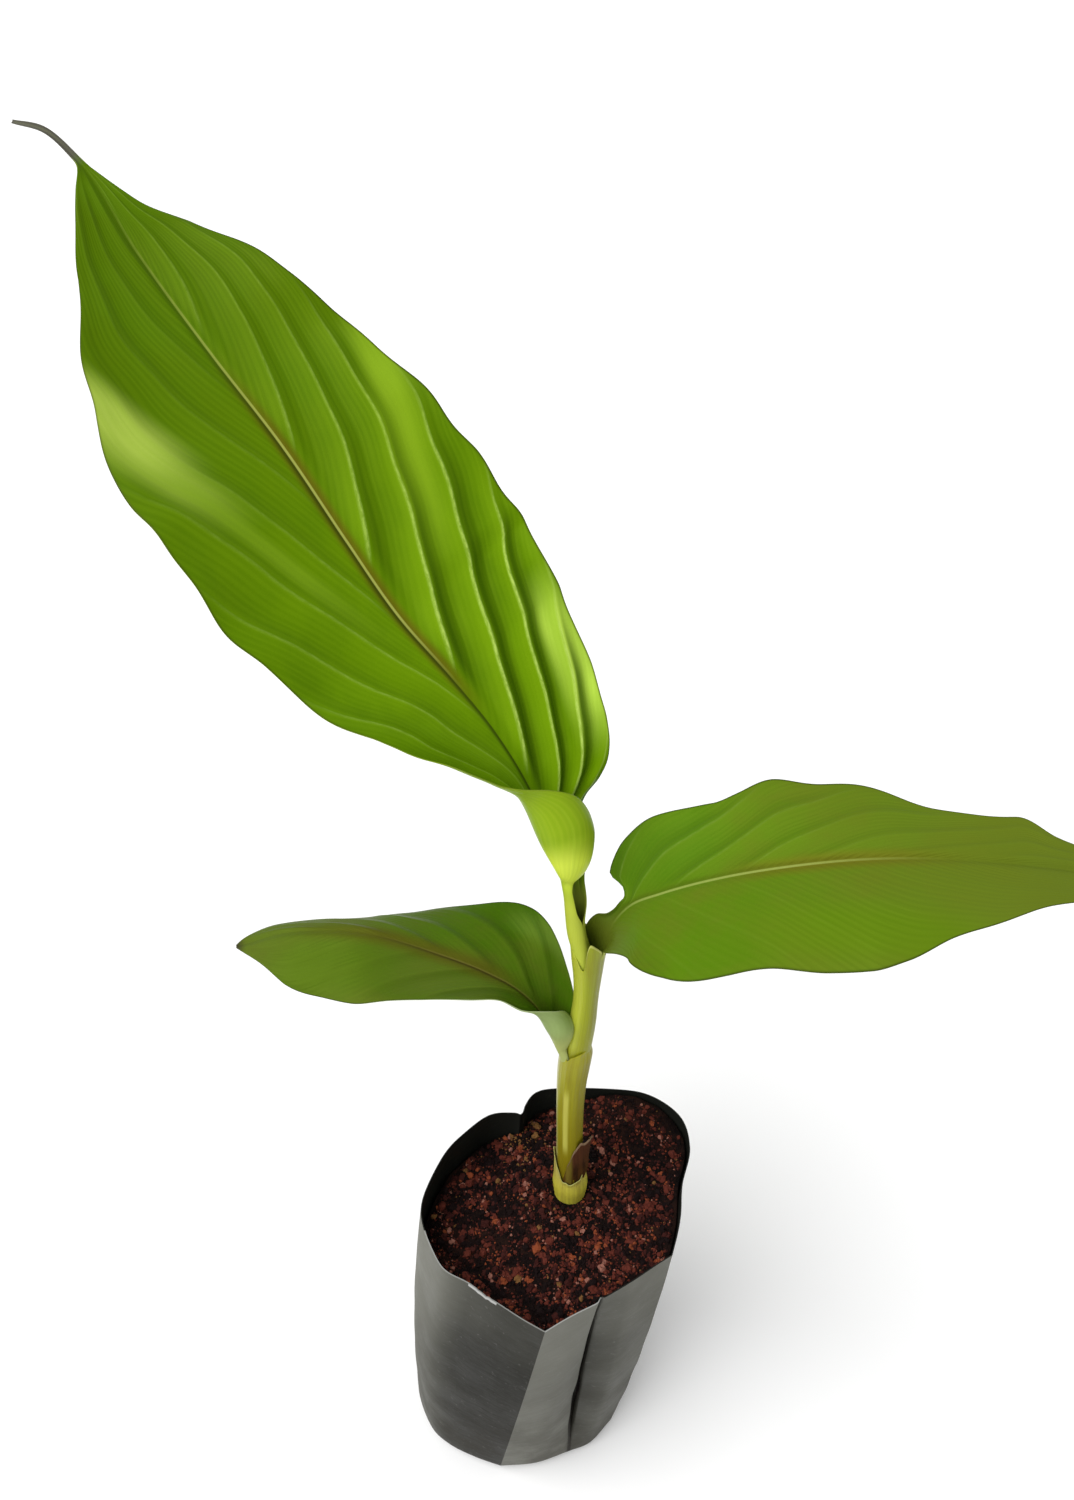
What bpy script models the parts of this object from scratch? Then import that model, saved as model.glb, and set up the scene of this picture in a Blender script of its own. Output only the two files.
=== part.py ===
# A young turmeric plant in a gusseted polythene grow bag.
# Sizes are in millimetres and are turned into metres where a mesh is made.
# The origin is the centre of the bag's flat underside, +Z is up, and the bag's
# sharp front crease faces -Y.
import math

import bmesh
import bpy
import numpy as np

MM = 0.001
CLEAR = 0.3          # gap left between neighbouring pieces
SOIL_GAP = 0.6       # gap between the soil and the bag's folded wall

# The grow bag: a 6 by 8 inch bag, filled
BAG_HEIGHT = 150.0
BAG_WALL = 1.0
BAG_FLOOR = 1.0
BAG_FOOT_RADIUS = 7.0       # rounding between the wall and the underside
BAG_BULGE = 2.0             # how far the filled wall swells out at half height
BAG_LEAN = (9.0, 0.0)       # the rim's centre seen from above, against the underside's
FOLD_DEPTH = 3.0            # how far the two gusset folds sink in at half height

# The bag's outline at the rim and at the foot, going round from the front crease.
# Each row is rim x, rim y, foot x, foot y and the kind of place.
BAG_OUTLINE = [
    (-4, -49, -10, -36, "crease"), (6, -43, 5, -34.5, "soft"),
    (16, -37.5, 19.5, -30, "fold"), (27, -30, 28, -26, "soft"),
    (41, -20.5, 36.5, -17, "crease"), (45, -6, 39.5, -8, "soft"),
    (47, 9, 40.5, 4, "soft"), (51, 24, 39.5, 15, "soft"),
    (48, 37, 36, 26, "soft"), (35, 46, 27, 34, "soft"),
    (17, 49, 13, 38, "soft"), (-7, 48, -6, 37.5, "soft"),
    (-15, 37, -14, 34, "fold"), (-27, 35, -24, 35, "soft"),
    (-37.5, 25, -35, 27, "soft"), (-44.5, 14, -43, 17, "soft"),
    (-50, -2, -47, 3, "soft"), (-48, -14, -46.5, -9, "soft"),
    (-41, -28, -40, -22, "soft"), (-30, -34, -32, -28.5, "soft"),
    (-17, -41.5, -21, -33, "soft"),
]
STEPS_PER_PLACE = 3
BAG_LEVELS = (0.05, 0.12, 0.25, 0.42, 0.6, 0.78, 0.93, 1.0)   # shares of the height
FOOT_TURNS = (0.0, 30.0, 60.0)      # degrees round the rounding, up from the underside

# The potting soil
SOIL_AT_STEM = 144.0        # height of the soil where the stem stands
SOIL_MOUND = 4.0            # how far the mound round the stem stands above the rest
SOIL_SPOT = 9.0             # radius of the level spot round the stem
SOIL_EASE = 25.0            # how far beyond the spot the slopes set in
SOIL_RISE_RIGHT = 0.13      # rise for each millimetre towards +X
SOIL_DROP_BACK_LEFT = 0.11      # drop for each millimetre to the back left
SOIL_DEEPEST = 5.5
# Low heaps on the soil: x, y, radius and rise
SOIL_HEAPS = [(-6, 33, 8, 4.5), (30, 40, 22, 7.0), (-28, 12, 14, 1.2), (10, -30, 12, 1.2)]
SOIL_EDGE_GAP = 0.6         # extra gap round the soil's upper edge
SOIL_RINGS = 9

# The pseudostem, rolled out of leaf sheaths: height and radius, from the soil up
STEM_X, STEM_Y = 13.6, 7.6
STEM_TOP = 277.0
STEM_FOOT = SOIL_AT_STEM + CLEAR
STEM_PROFILE = [(STEM_FOOT, 4.2), (180, 4.3), (225, 4.2), (245, 4.2), (262, 4.7), (STEM_TOP, 5.0)]
STEM_SIDES = 20
STEM_RINGS = 14
SHEATH_SHARES = (0, 1 / 3, 2 / 3, 1)     # shares of a sheath's height with a ring

# Sheaths that wrap the stem: inner and outer radius, foot, and the height of the
# mouth as its mean, its tilt and the direction of its highest side
LEFT_SHEATH = dict(inner=4.65, outer=5.35, foot=STEM_FOOT, mouth=223.5, tilt=2.5, high=200.0)
BASAL_SHEATH = dict(inner=5.7, outer=6.4, foot=STEM_FOOT, mouth=154.0, tilt=8.0, high=170.0)

# The dried scale leaf on the stem's right side: its turn round the stem in degrees,
# and the share of its width that is lost at the tip
SCALE_RADIUS, SCALE_WALL, SCALE_HEIGHT = 7.1, 0.7, 26.0
SCALE_FROM, SCALE_TO = -45.0, 70.0
SCALE_NARROWING = 0.75
SCALE_LIFT = 0.5            # gap under it, above the soil
SCALE_ROWS, SCALE_COLUMNS = 7, 9

# The leaves. "rib" is the line of the midrib from the petiole's foot to the tip.
# "face" rows: distance along the rib, then the direction that the upper side looks in.
# "left" and "right" rows, as seen on the upper side with the tip up: distance along the
# rib, half width, slope at the rib and further bend to the edge in degrees, and how far
# the edge is swept towards the tip.
BEND_PARTS = 20      # straight parts that a bent half's arc is added up from
RIB_STEP = 0.3       # half the length over which the midrib's direction is taken
TOP_LEAF = dict(
    thick=3.0, along=46, across=7,
    rib=[(10.2, 8, 277.9), (9, 7.8, 283), (5.6, 8, 303), (3.4, 9, 313), (-0.5, 12, 323),
         (-5.5, 16, 334), (-16, 24, 348), (-28.5, 32, 360), (-44, 42, 373), (-59, 53, 390),
         (-77.4, 67, 411.5), (-97, 80, 431.5), (-118, 95, 454), (-134, 106, 475),
         (-142, 109, 481), (-152, 112, 482.6)],
    face=[(0, .75, -.65, .15), (33, .75, -.65, .2), (54, .66, -.7, .3), (66, .6, -.7, .35),
          (94, .4, -.72, .5), (144, .3, -.76, .57), (271, .25, -.76, .55)],
    left=[(0, 3, 0, 20), (22, 3.5, 0, 40), (29, 12, 0, 150), (38, 26, 0, 215),
          (47, 34, 0, 215), (55, 35, 0, 200), (62, 34, 0, 160), (72, 31, 0, 105),
          (84, 29.5, 0, 72), (96, 31, 0, 45), (109, 36, 3, 22), (124, 38.5, 5, 15),
          (139, 43, 6, 14), (154, 45, 6, 12), (184, 45, 6, 10), (199, 42, 6, 8),
          (214, 35, 6, 6), (229, 27, 6, 5), (244, 18, 4, 5), (254, 12, 4, 5),
          (264, 5, 2, 5), (271, 1.4, 0, 0), (295, 1.2, 0, 0)],
    right=[(0, 3, 0, 20), (22, 3.5, 0, 20), (29, 5, 0, 20), (38, 8, 5, 35), (47, 12, 8, 40),
           (55, 18, 8, 45), (62, 26, 6, 40), (72, 32, 5, 30), (84, 35, 5, 25),
           (96, 39, 5, 25), (109, 43, 5, 15), (124, 45, 10, 10), (139, 44, 10, 8),
           (154, 43, 10, 6), (169, 41, 10, 5), (184, 37, 10, 5), (199, 32, 10, 3),
           (214, 29.3, 10, 0), (229, 25, 8, 0), (244, 14, 6, 0), (254, 9.5, 4, 0),
           (264, 2.5, 2, 0), (271, 1.4, 0, 0), (295, 1.2, 0, 0)])
RIGHT_LEAF = dict(
    thick=1.8, along=38, across=6,
    rib=[(15.8, 4.6, 277.9), (16.8, 4.6, 283), (20.5, 5, 291.5), (25, 4.8, 299.5),
         (33, 3, 306.5), (50, -1, 318), (66.5, -4, 325.7), (83, -6, 330.8),
         (114, -10, 335.8), (145, -14, 336), (158, -15, 334.6)],
    face=[(0, -.75, -.45, .2), (12, -.7, -.45, .5), (30, -.4, -.42, .8),
          (50, -.25, -.4, .9), (85, -.12, -.36, .93), (125, 0, -.34, .94), (168, .1, -.34, .94)],
    left=[(0, 3, 0, 20), (6, 4, 10, 30), (14, 6, 10, 40), (20, 4, 8, 30), (24.5, 5, 8, 20, -2),
          (28, 14, 6, 10, -8), (33, 20.5, 5, 10, -6), (41, 22.5, 5, 5, -3), (50, 22, 5, 5),
          (61, 24, 6, 0), (72, 27.5, 6, -4), (85, 24.5, 6, -6), (100, 20.5, 6, -8),
          (113, 15, 5, -6), (125, 14, 5, -3), (133, 14, 5, -3), (143, 9, 4, 0),
          (152, 6.5, 2, 0), (161, 3.5, 2, 0), (168, 1, 0, 0)],
    right=[(0, 3, 0, 20), (6, 6, 10, 40), (13, 13, 10, 45), (20, 17, 10, 35), (27, 22, 5, 30),
           (34, 26.5, 5, 20), (43, 30, 5, 15), (55, 30, 5, 10), (67, 29.5, 8, 0),
           (81, 32.5, 8, -5), (93, 33, 8, -8), (103, 30, 7, -8), (115, 22.5, 6, -8),
           (127, 18, 5, -5), (139, 12.5, 4, 0), (152, 8, 2, 0), (161, 4, 2, 0),
           (168, 1, 0, 0)])
LEFT_LEAF = dict(
    thick=1.4, along=34, across=6,
    rib=[(7.9, 4.9, 226.7), (6, 5, 231.5), (3, 5.8, 239.5), (-2, 7, 250.6),
         (-9.4, 8, 258.5), (-17.5, 9, 263.3), (-33.5, 11, 269.3), (-55, 13, 275),
         (-68, 14, 274.8), (-82, 14, 272.8), (-98, 14, 266)],
    face=[(0, .9, .4, .3), (8, .85, 0, .35), (16, .78, -.4, .4), (28, .55, -.5, .65), (48, .3, -.45, .84),
          (73, .1, -.42, .9), (138, -.1, -.4, .9)],
    left=[(0, 2.5, 0, 20), (6, 5, 10, 60), (14, 10, 20, 110), (22, 11, 15, 100),
          (29, 10, 10, 70), (35, 8.5, 5, 35), (43, 10, 5, 20), (53, 13.5, 5, 15),
          (63, 17, 6, 8), (73, 20.5, 6, 5), (85, 24, 6, 0), (96, 23, 6, 0), (105, 19, 6, 0),
          (113, 14, 6, 0), (121, 6.5, 5, 0), (130.5, 0.8, 0, 0)],
    right=[(0, 2.5, 0, 20), (6, 4, 0, 30), (13, 5, 5, 40), (20, 9, 5, 50),
           (27, 18, 5, 30), (34, 23, 5, 20), (41, 24, 5, 5), (53, 22, 0, -10),
           (65, 20, -10, -25), (77, 18, -20, -45), (89, 15, -25, -60), (101, 12, -25, -60),
           (113, 8, -20, -45), (121, 5, -10, -20), (130.5, 0.8, 0, 0)])

COLOURS = {
    "grow_bag": ((0.035, 0.036, 0.034), 0.45), "potting_soil": ((0.07, 0.022, 0.014), 0.95),
    "pseudostem": ((0.36, 0.38, 0.05), 0.45), "left_sheath": ((0.33, 0.34, 0.05), 0.5),
    "basal_sheath": ((0.5, 0.46, 0.1), 0.6), "dried_scale": ((0.18, 0.1, 0.04), 0.8),
    "top_leaf": ((0.11, 0.25, 0.015), 0.4), "right_leaf": ((0.1, 0.2, 0.02), 0.45),
    "left_leaf": ((0.07, 0.16, 0.015), 0.45),
}


def clear_scene():
    for thing in list(bpy.data.objects):
        bpy.data.objects.remove(thing)


def smooth(rows, stations, at, steady=False):
    """Values at the given stations of one smooth curve through the rows. A steady
    curve never passes above or below two rows that follow each other."""
    rows = np.asarray(rows, float)
    stations = np.asarray(stations, float)
    gaps = np.diff(stations)[:, None]
    slopes = np.diff(rows, axis=0) / gaps
    inner = (slopes[:-1] * gaps[1:] + slopes[1:] * gaps[:-1]) / (gaps[1:] + gaps[:-1])
    if steady:
        least = 3 * np.minimum(np.abs(slopes[:-1]), np.abs(slopes[1:]))
        inner = np.clip(inner, -least, least) * (slopes[:-1] * slopes[1:] > 0)
    tangents = np.vstack([slopes[:1], inner, slopes[-1:]])
    at = np.clip(at, stations[0], stations[-1])
    left = np.clip(np.searchsorted(stations, at, side="right") - 1, 0, len(gaps) - 1)
    gap = gaps[left]
    x = ((at - stations[left]) / gap[:, 0])[:, None]
    return ((2 * x**3 - 3 * x**2 + 1) * rows[left] + (x**3 - 2 * x**2 + x) * gap * tangents[left]
            + (3 * x**2 - 2 * x**3) * rows[left + 1] + (x**3 - x**2) * gap * tangents[left + 1])


def unit(vectors):
    return vectors / np.linalg.norm(vectors, axis=-1, keepdims=True)


def rib_stations(rib):
    steps = np.linalg.norm(np.diff(np.asarray(rib, float), axis=0), axis=1)
    return np.concatenate([[0.0], np.cumsum(steps)])


def leaf_half(leaf, at, spread, side):
    """Points of one half of the blade, one row for each distance along the rib."""
    marks = rib_stations(leaf["rib"])
    rib = smooth(leaf["rib"], marks, at)
    before = smooth(leaf["rib"], marks, at - RIB_STEP)
    ahead = unit(smooth(leaf["rib"], marks, at + RIB_STEP) - before)
    face = np.array([row[1:] for row in leaf["face"]], float)
    looks = smooth(unit(face), [row[0] for row in leaf["face"]], at)
    across = unit(np.cross(ahead, looks))
    upward = np.cross(across, ahead)
    rows = [tuple(row) + (0,) * (5 - len(row)) for row in leaf["right" if side > 0 else "left"]]
    rows = np.array(rows, float)
    width, slope, bend, sweep = smooth(rows[:, 1:], rows[:, 0], at, steady=True).T
    parts = (np.arange(BEND_PARTS) + 0.5) / BEND_PARTS
    grid = np.empty((len(at), len(spread), 3))
    for j, u in enumerate(spread):
        angle = np.radians(slope[:, None] + bend[:, None] * parts * u)
        out = np.cos(angle).mean(axis=1) * width * u
        up = np.sin(angle).mean(axis=1) * width * u
        grid[:, j] = (rib + across * (side * out)[:, None] + upward * up[:, None]
                      + ahead * (sweep * u * u)[:, None])
    return grid


def leaf_grid(leaf):
    length = rib_stations(leaf["rib"])[-1]
    at = np.linspace(0.0, length, leaf["along"] + 1)
    spread = np.linspace(0.0, 1.0, leaf["across"] + 1)
    left = leaf_half(leaf, at, spread, -1)[:, ::-1]
    right = leaf_half(leaf, at, spread[1:], 1)
    return np.concatenate([left, right], axis=1)


def grid_normals(grid):
    along = np.gradient(grid, axis=0)
    across = np.gradient(grid, axis=1)
    return unit(np.cross(across, along))


def finish_object(name, mesh, sharp=40.0):
    """Makes the mesh's object, with its faces out, its shading and its material."""
    shell = bmesh.new()
    shell.from_mesh(mesh)
    bmesh.ops.recalc_face_normals(shell, faces=shell.faces)
    shell.to_mesh(mesh)
    shell.free()
    mesh.shade_smooth()
    mesh.set_sharp_from_angle(angle=math.radians(sharp))
    colour, rough = COLOURS[name]
    material = bpy.data.materials.new(name)
    material.use_nodes = True
    surface = material.node_tree.nodes["Principled BSDF"]
    surface.inputs["Base Color"].default_value = (*colour, 1.0)
    surface.inputs["Roughness"].default_value = rough
    mesh.materials.append(material)
    thing = bpy.data.objects.new(name, mesh)
    bpy.context.scene.collection.objects.link(thing)
    return thing


def mesh_of(name, points, faces):
    mesh = bpy.data.meshes.new(name)
    mesh.from_pydata([tuple(p) for p in np.asarray(points) * MM], [], faces)
    return mesh


def slab(upper, lower):
    """Points and faces of the closed sheet between two grids of points."""
    rows, columns, _ = upper.shape
    points = np.concatenate([upper.reshape(-1, 3), lower.reshape(-1, 3)])
    under = rows * columns
    faces = []
    for i in range(rows - 1):
        for j in range(columns - 1):
            a = i * columns + j
            b = a + columns
            faces.append((a, b, b + 1, a + 1))
            faces.append((under + a, under + a + 1, under + b + 1, under + b))
    edge = list(range(columns))
    edge += [i * columns + columns - 1 for i in range(1, rows)]
    edge += [(rows - 1) * columns + j for j in range(columns - 2, -1, -1)]
    edge += [i * columns for i in range(rows - 2, 0, -1)]
    for a, b in zip(edge, edge[1:] + edge[:1]):
        faces.append((a, b, under + b, under + a))
    return points, faces


def make_leaf(name, leaf):
    """A blade of even thickness: its grid moved half the thickness to either side."""
    grid = leaf_grid(leaf)
    offset = grid_normals(grid) * leaf["thick"] / 2
    points, faces = slab(grid + offset, grid - offset)
    return finish_object(name, mesh_of(name, points, faces))


def closed_outline(corners, kinds, steps):
    """Points round a closed line: smooth at soft places, with a corner at the others."""
    corners = np.asarray(corners, float)
    count = len(corners)
    points = []
    for i in range(count):
        here, there = corners[i], corners[(i + 1) % count]
        before, after = corners[i - 1], corners[(i + 2) % count]
        start = (there - before) / 2 if kinds[i] == "soft" else there - here
        end = (after - here) / 2 if kinds[(i + 1) % count] == "soft" else there - here
        for k in range(steps):
            x = k / steps
            points.append((2 * x**3 - 3 * x**2 + 1) * here + (x**3 - 2 * x**2 + x) * start
                          + (3 * x**2 - 2 * x**3) * there + (x**3 - x**2) * end)
    return np.array(points)


def bag_ring(height, inset):
    """The bag's outline at a height, moved in by the inset."""
    share = height / BAG_HEIGHT
    swell = BAG_BULGE * math.sin(math.pi * share)
    kinds = [row[4] for row in BAG_OUTLINE]
    corners = []
    for rim_x, rim_y, foot_x, foot_y, kind in BAG_OUTLINE:
        x = foot_x + (rim_x + BAG_LEAN[0] - foot_x) * share
        y = foot_y + (rim_y + BAG_LEAN[1] - foot_y) * share
        out = swell if kind != "fold" else -FOLD_DEPTH * math.sin(math.pi * share)
        middle = np.array([BAG_LEAN[0] * share, BAG_LEAN[1] * share])
        ray = unit(np.array([x, y]) - middle)
        corners.append((x + ray[0] * out, y + ray[1] * out))
    ring = closed_outline(corners, kinds, STEPS_PER_PLACE)
    tangent = unit(np.roll(ring, -1, axis=0) - np.roll(ring, 1, axis=0))
    inward = np.stack([-tangent[:, 1], tangent[:, 0]], axis=1)
    return np.column_stack([ring + inward * inset, np.full(len(ring), float(height))])


def foot_rings(inset, lift):
    """Rings that round the foot off, from the flat underside up to the wall."""
    rings = []
    for turn in FOOT_TURNS:
        angle = math.radians(turn)
        in_more = BAG_FOOT_RADIUS * (1 - math.sin(angle))
        height = BAG_FOOT_RADIUS * (1 - math.cos(angle))
        ring = bag_ring(height, inset + in_more)
        ring[:, 2] = lift + height * (BAG_FOOT_RADIUS - lift) / BAG_FOOT_RADIUS
        rings.append(ring)
    return rings


def skin(rings, caps):
    """Faces between rings of equally many points, with the named ends filled."""
    count = len(rings[0])
    faces = []
    for level in range(len(rings) - 1):
        for i in range(count):
            a = level * count + i
            b = level * count + (i + 1) % count
            faces.append((a, b, b + count, a + count))
    if "first" in caps:
        faces.append(tuple(range(count)))
    if "last" in caps:
        last = (len(rings) - 1) * count
        faces.append(tuple(range(last, last + count)))
    return np.concatenate(rings), faces


def make_bag():
    """A thin-walled open bag with a flat underside."""
    outer = foot_rings(0.0, 0.0) + [bag_ring(share * BAG_HEIGHT, 0.0) for share in BAG_LEVELS]
    inner = foot_rings(BAG_WALL, BAG_FLOOR)
    inner += [bag_ring(share * BAG_HEIGHT, BAG_WALL) for share in BAG_LEVELS]
    points, faces = skin(outer + inner[::-1], ("first", "last"))
    return finish_object("grow_bag", mesh_of("grow_bag", points, faces), sharp=25.0)


def soil_height(x, y):
    """The soil's surface: a level mound round the stem, higher on the right, sunk at the
    back left, with a few low heaps."""
    from_stem = math.hypot(x - STEM_X, y - STEM_Y)
    ease = min(max((from_stem - SOIL_SPOT) / SOIL_EASE, 0.0), 1.0)
    ease = ease * ease * (3 - 2 * ease)
    rise = SOIL_RISE_RIGHT * (x - STEM_X)
    back_left = max(0.0, (STEM_X - x + y - STEM_Y) / math.sqrt(2))
    for heap_x, heap_y, radius, heap_rise in SOIL_HEAPS:
        rise += heap_rise * math.exp(-math.hypot(x - heap_x, y - heap_y)**2 / radius**2)
    drop = min(SOIL_DROP_BACK_LEFT * back_left, SOIL_DEEPEST)
    return SOIL_AT_STEM + ease * (rise - drop - SOIL_MOUND)


def make_soil():
    """The soil fills the bag with the usual gap, and its top follows soil_height."""
    inset = BAG_WALL + SOIL_GAP
    rings = foot_rings(inset, BAG_FLOOR + CLEAR)
    for share in BAG_LEVELS[:-2]:
        rings.append(bag_ring(share * BAG_HEIGHT, inset))
    border = bag_ring(SOIL_AT_STEM - SOIL_MOUND, inset + SOIL_EDGE_GAP)
    for k in range(SOIL_RINGS):
        ring = border.copy()
        ring[:, :2] += ((STEM_X, STEM_Y) - ring[:, :2]) * k / SOIL_RINGS
        ring[:, 2] = [soil_height(x, y) for x, y, _ in ring]
        rings.append(ring)
    points, faces = skin(rings, ("first",))
    centre = len(points)
    points = np.vstack([points, (STEM_X, STEM_Y, SOIL_AT_STEM)])
    last, count = centre - len(border), len(border)
    faces += [(last + i, last + (i + 1) % count, centre) for i in range(count)]
    return finish_object("potting_soil", mesh_of("potting_soil", points, faces))


def circle(radius, sides, heights):
    """A ring round the stem's axis. The heights may be one number or one for each point."""
    turn = np.arange(sides) * 2 * math.pi / sides
    return np.column_stack([STEM_X + radius * np.cos(turn), STEM_Y + radius * np.sin(turn),
                            np.broadcast_to(heights, sides)])


def make_stem():
    heights = np.linspace(STEM_PROFILE[0][0], STEM_TOP, STEM_RINGS)
    radii = smooth([[row[1]] for row in STEM_PROFILE], [row[0] for row in STEM_PROFILE], heights)
    rings = [circle(radius, STEM_SIDES, height) for height, radius in zip(heights, radii[:, 0])]
    points, faces = skin(rings, ("first", "last"))
    return finish_object("pseudostem", mesh_of("pseudostem", points, faces))


def make_sheath(name, sheath):
    """A tube round the stem whose mouth is cut at a slant."""
    turn = np.degrees(np.arange(STEM_SIDES) * 2 * math.pi / STEM_SIDES)
    mouth = sheath["mouth"] + sheath["tilt"] * np.cos(np.radians(turn - sheath["high"]))
    rings = []
    for radius, shares in ((sheath["outer"], SHEATH_SHARES), (sheath["inner"], (1, 0))):
        for share in shares:
            heights = sheath["foot"] + (mouth - sheath["foot"]) * share
            rings.append(circle(radius, STEM_SIDES, heights))
    points, faces = skin(rings + [rings[0]], ())
    faces = [tuple(i % (len(rings) * STEM_SIDES) for i in face) for face in faces]
    return finish_object(name, mesh_of(name, points[:-STEM_SIDES], faces))


def make_scale():
    """A dried scale leaf that stands round part of the stem and narrows to its tip."""
    share = np.linspace(0.0, 1.0, SCALE_ROWS)[:, None]
    place = np.linspace(-0.5, 0.5, SCALE_COLUMNS)[None, :]
    width = (SCALE_TO - SCALE_FROM) * (1 - SCALE_NARROWING * share**2)
    turn = np.radians((SCALE_FROM + SCALE_TO) / 2 + place * width)
    height = SOIL_AT_STEM + SCALE_LIFT + SCALE_HEIGHT * share + 0 * turn
    layers = []
    for radius in (SCALE_RADIUS, SCALE_RADIUS + SCALE_WALL):
        x = STEM_X + radius * np.cos(turn)
        y = STEM_Y + radius * np.sin(turn)
        layers.append(np.stack([x, y, height], axis=-1))
    points, faces = slab(layers[1], layers[0])
    return finish_object("dried_scale", mesh_of("dried_scale", points, faces))


clear_scene()
make_bag()
make_soil()
make_stem()
make_sheath("left_sheath", LEFT_SHEATH)
make_sheath("basal_sheath", BASAL_SHEATH)
make_scale()
make_leaf("top_leaf", TOP_LEAF)
make_leaf("right_leaf", RIGHT_LEAF)
make_leaf("left_leaf", LEFT_LEAF)
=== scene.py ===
# The looks of a young turmeric plant in a gusseted polythene grow bag.
# Lengths are in millimetres in the code and turned into metres when a mesh is made.
import math

import bmesh
import bpy
import numpy as np
from mathutils import Matrix, Vector


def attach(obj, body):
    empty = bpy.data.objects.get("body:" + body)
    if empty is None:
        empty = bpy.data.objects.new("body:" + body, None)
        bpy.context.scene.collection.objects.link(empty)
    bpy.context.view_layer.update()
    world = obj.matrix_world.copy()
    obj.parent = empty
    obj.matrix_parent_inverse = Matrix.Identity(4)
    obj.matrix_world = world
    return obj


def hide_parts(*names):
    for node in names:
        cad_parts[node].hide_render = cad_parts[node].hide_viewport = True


mm = 0.001
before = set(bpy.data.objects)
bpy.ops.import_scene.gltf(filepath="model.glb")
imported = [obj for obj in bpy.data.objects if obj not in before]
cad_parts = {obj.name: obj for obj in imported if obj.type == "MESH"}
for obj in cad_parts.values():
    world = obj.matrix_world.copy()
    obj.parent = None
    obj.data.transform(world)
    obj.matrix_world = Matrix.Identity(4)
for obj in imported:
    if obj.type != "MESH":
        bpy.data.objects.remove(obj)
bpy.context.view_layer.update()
print("frame loaded:", len(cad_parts), "nodes")


# Curves and small number helpers

def bendBetween(x, here, there, leaving, arriving, gap=1.0):
    # a curve from one point to the next, with the directions it leaves and arrives in
    return ((2 * x**3 - 3 * x**2 + 1) * here + (x**3 - 2 * x**2 + x) * gap * leaving
            + (3 * x**2 - 2 * x**3) * there + (x**3 - x**2) * gap * arriving)


def smooth(rows, stations, at, steady=False):
    # one smooth curve through the rows; a steady one never swings past two rows that follow each other
    rows = np.asarray(rows, float)
    stations = np.asarray(stations, float)
    gaps = np.diff(stations)[:, None]
    slopes = np.diff(rows, axis=0) / gaps
    inner = (slopes[:-1] * gaps[1:] + slopes[1:] * gaps[:-1]) / (gaps[1:] + gaps[:-1])
    if steady:
        least = 3 * np.minimum(np.abs(slopes[:-1]), np.abs(slopes[1:]))
        inner = np.clip(inner, -least, least) * (slopes[:-1] * slopes[1:] > 0)
    tangents = np.vstack([slopes[:1], inner, slopes[-1:]])
    at = np.clip(at, stations[0], stations[-1])
    left = np.clip(np.searchsorted(stations, at, side="right") - 1, 0, len(gaps) - 1)
    gap = gaps[left]
    x = ((at - stations[left]) / gap[:, 0])[:, None]
    return bendBetween(x, rows[left], rows[left + 1], tangents[left], tangents[left + 1], gap)


def unit(vectors):
    return vectors / np.maximum(np.linalg.norm(vectors, axis=-1, keepdims=True), 1e-9)


def fade(x, low, high):
    # 0 below low, 1 above high, with soft ends
    t = np.clip((x - low) / (high - low), 0, 1)
    return t * t * (3 - 2 * t)


def hump(x, middle, width):
    return np.exp(-((x - middle) / width) ** 2)


def heapAt(x, y, placeX, placeY, wide, tall):
    return tall * np.exp(-((x - placeX) ** 2 + (y - placeY) ** 2) / wide ** 2)


def straight(table, at):
    # straight lines through a table of places and values
    return np.interp(at, *zip(*table))


def curved(table, at, steady=False):
    # a smooth curve through a table of places and values
    places, values = zip(*table)
    return smooth(np.reshape(values, (-1, 1)), places, np.ravel(at), steady).reshape(np.shape(at))


def ripple(seed, *coords, waves=8):
    # seeded sine waves in all directions, mostly between -1 and 1; a coordinate of 1 is about a wave
    rng = np.random.default_rng(seed)
    total = 0.0
    for _ in range(waves):
        turn = rng.normal(size=len(coords))
        turn *= rng.uniform(3.5, 9.0) / np.linalg.norm(turn)
        total = total + np.sin(sum(c * t for c, t in zip(coords, turn)) + rng.uniform(0, 2 * math.pi))
    return total / math.sqrt(waves)


# Meshes

def putInScene(name, data):
    thing = bpy.data.objects.new(name, data)
    bpy.context.scene.collection.objects.link(thing)
    return thing


def makePiece(name, points, faces, materials, replaced=(), faceMaterial=None, maps=None, sharp=None):
    mesh = bpy.data.meshes.new(name)
    mesh.from_pydata((np.asarray(points) * mm).tolist(), [], faces)
    loops = np.empty(len(mesh.loops), np.int32)
    mesh.loops.foreach_get("vertex_index", loops)
    for mapName, values in (maps or {}).items():
        layer = mesh.uv_layers.new(name=mapName)
        values = np.asarray(values, np.float32)
        if len(values) != len(loops):
            values = values[loops]
        layer.data.foreach_set("uv", values.ravel())
    for material in materials:
        mesh.materials.append(material)
    if faceMaterial is not None:
        mesh.polygons.foreach_set("material_index", np.asarray(faceMaterial, np.int32))
    mesh.shade_smooth()
    if sharp:
        mesh.set_sharp_from_angle(angle=math.radians(sharp))
    piece = putInScene(name, mesh)
    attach(piece, "root")
    if replaced:
        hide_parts(*replaced)
    return piece


def gridNormals(grid, closed=False):
    along = np.gradient(grid, axis=0)
    if closed:
        across = np.roll(grid, -1, axis=1) - np.roll(grid, 1, axis=1)
    else:
        across = np.gradient(grid, axis=1)
    return unit(np.cross(across, along))


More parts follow.
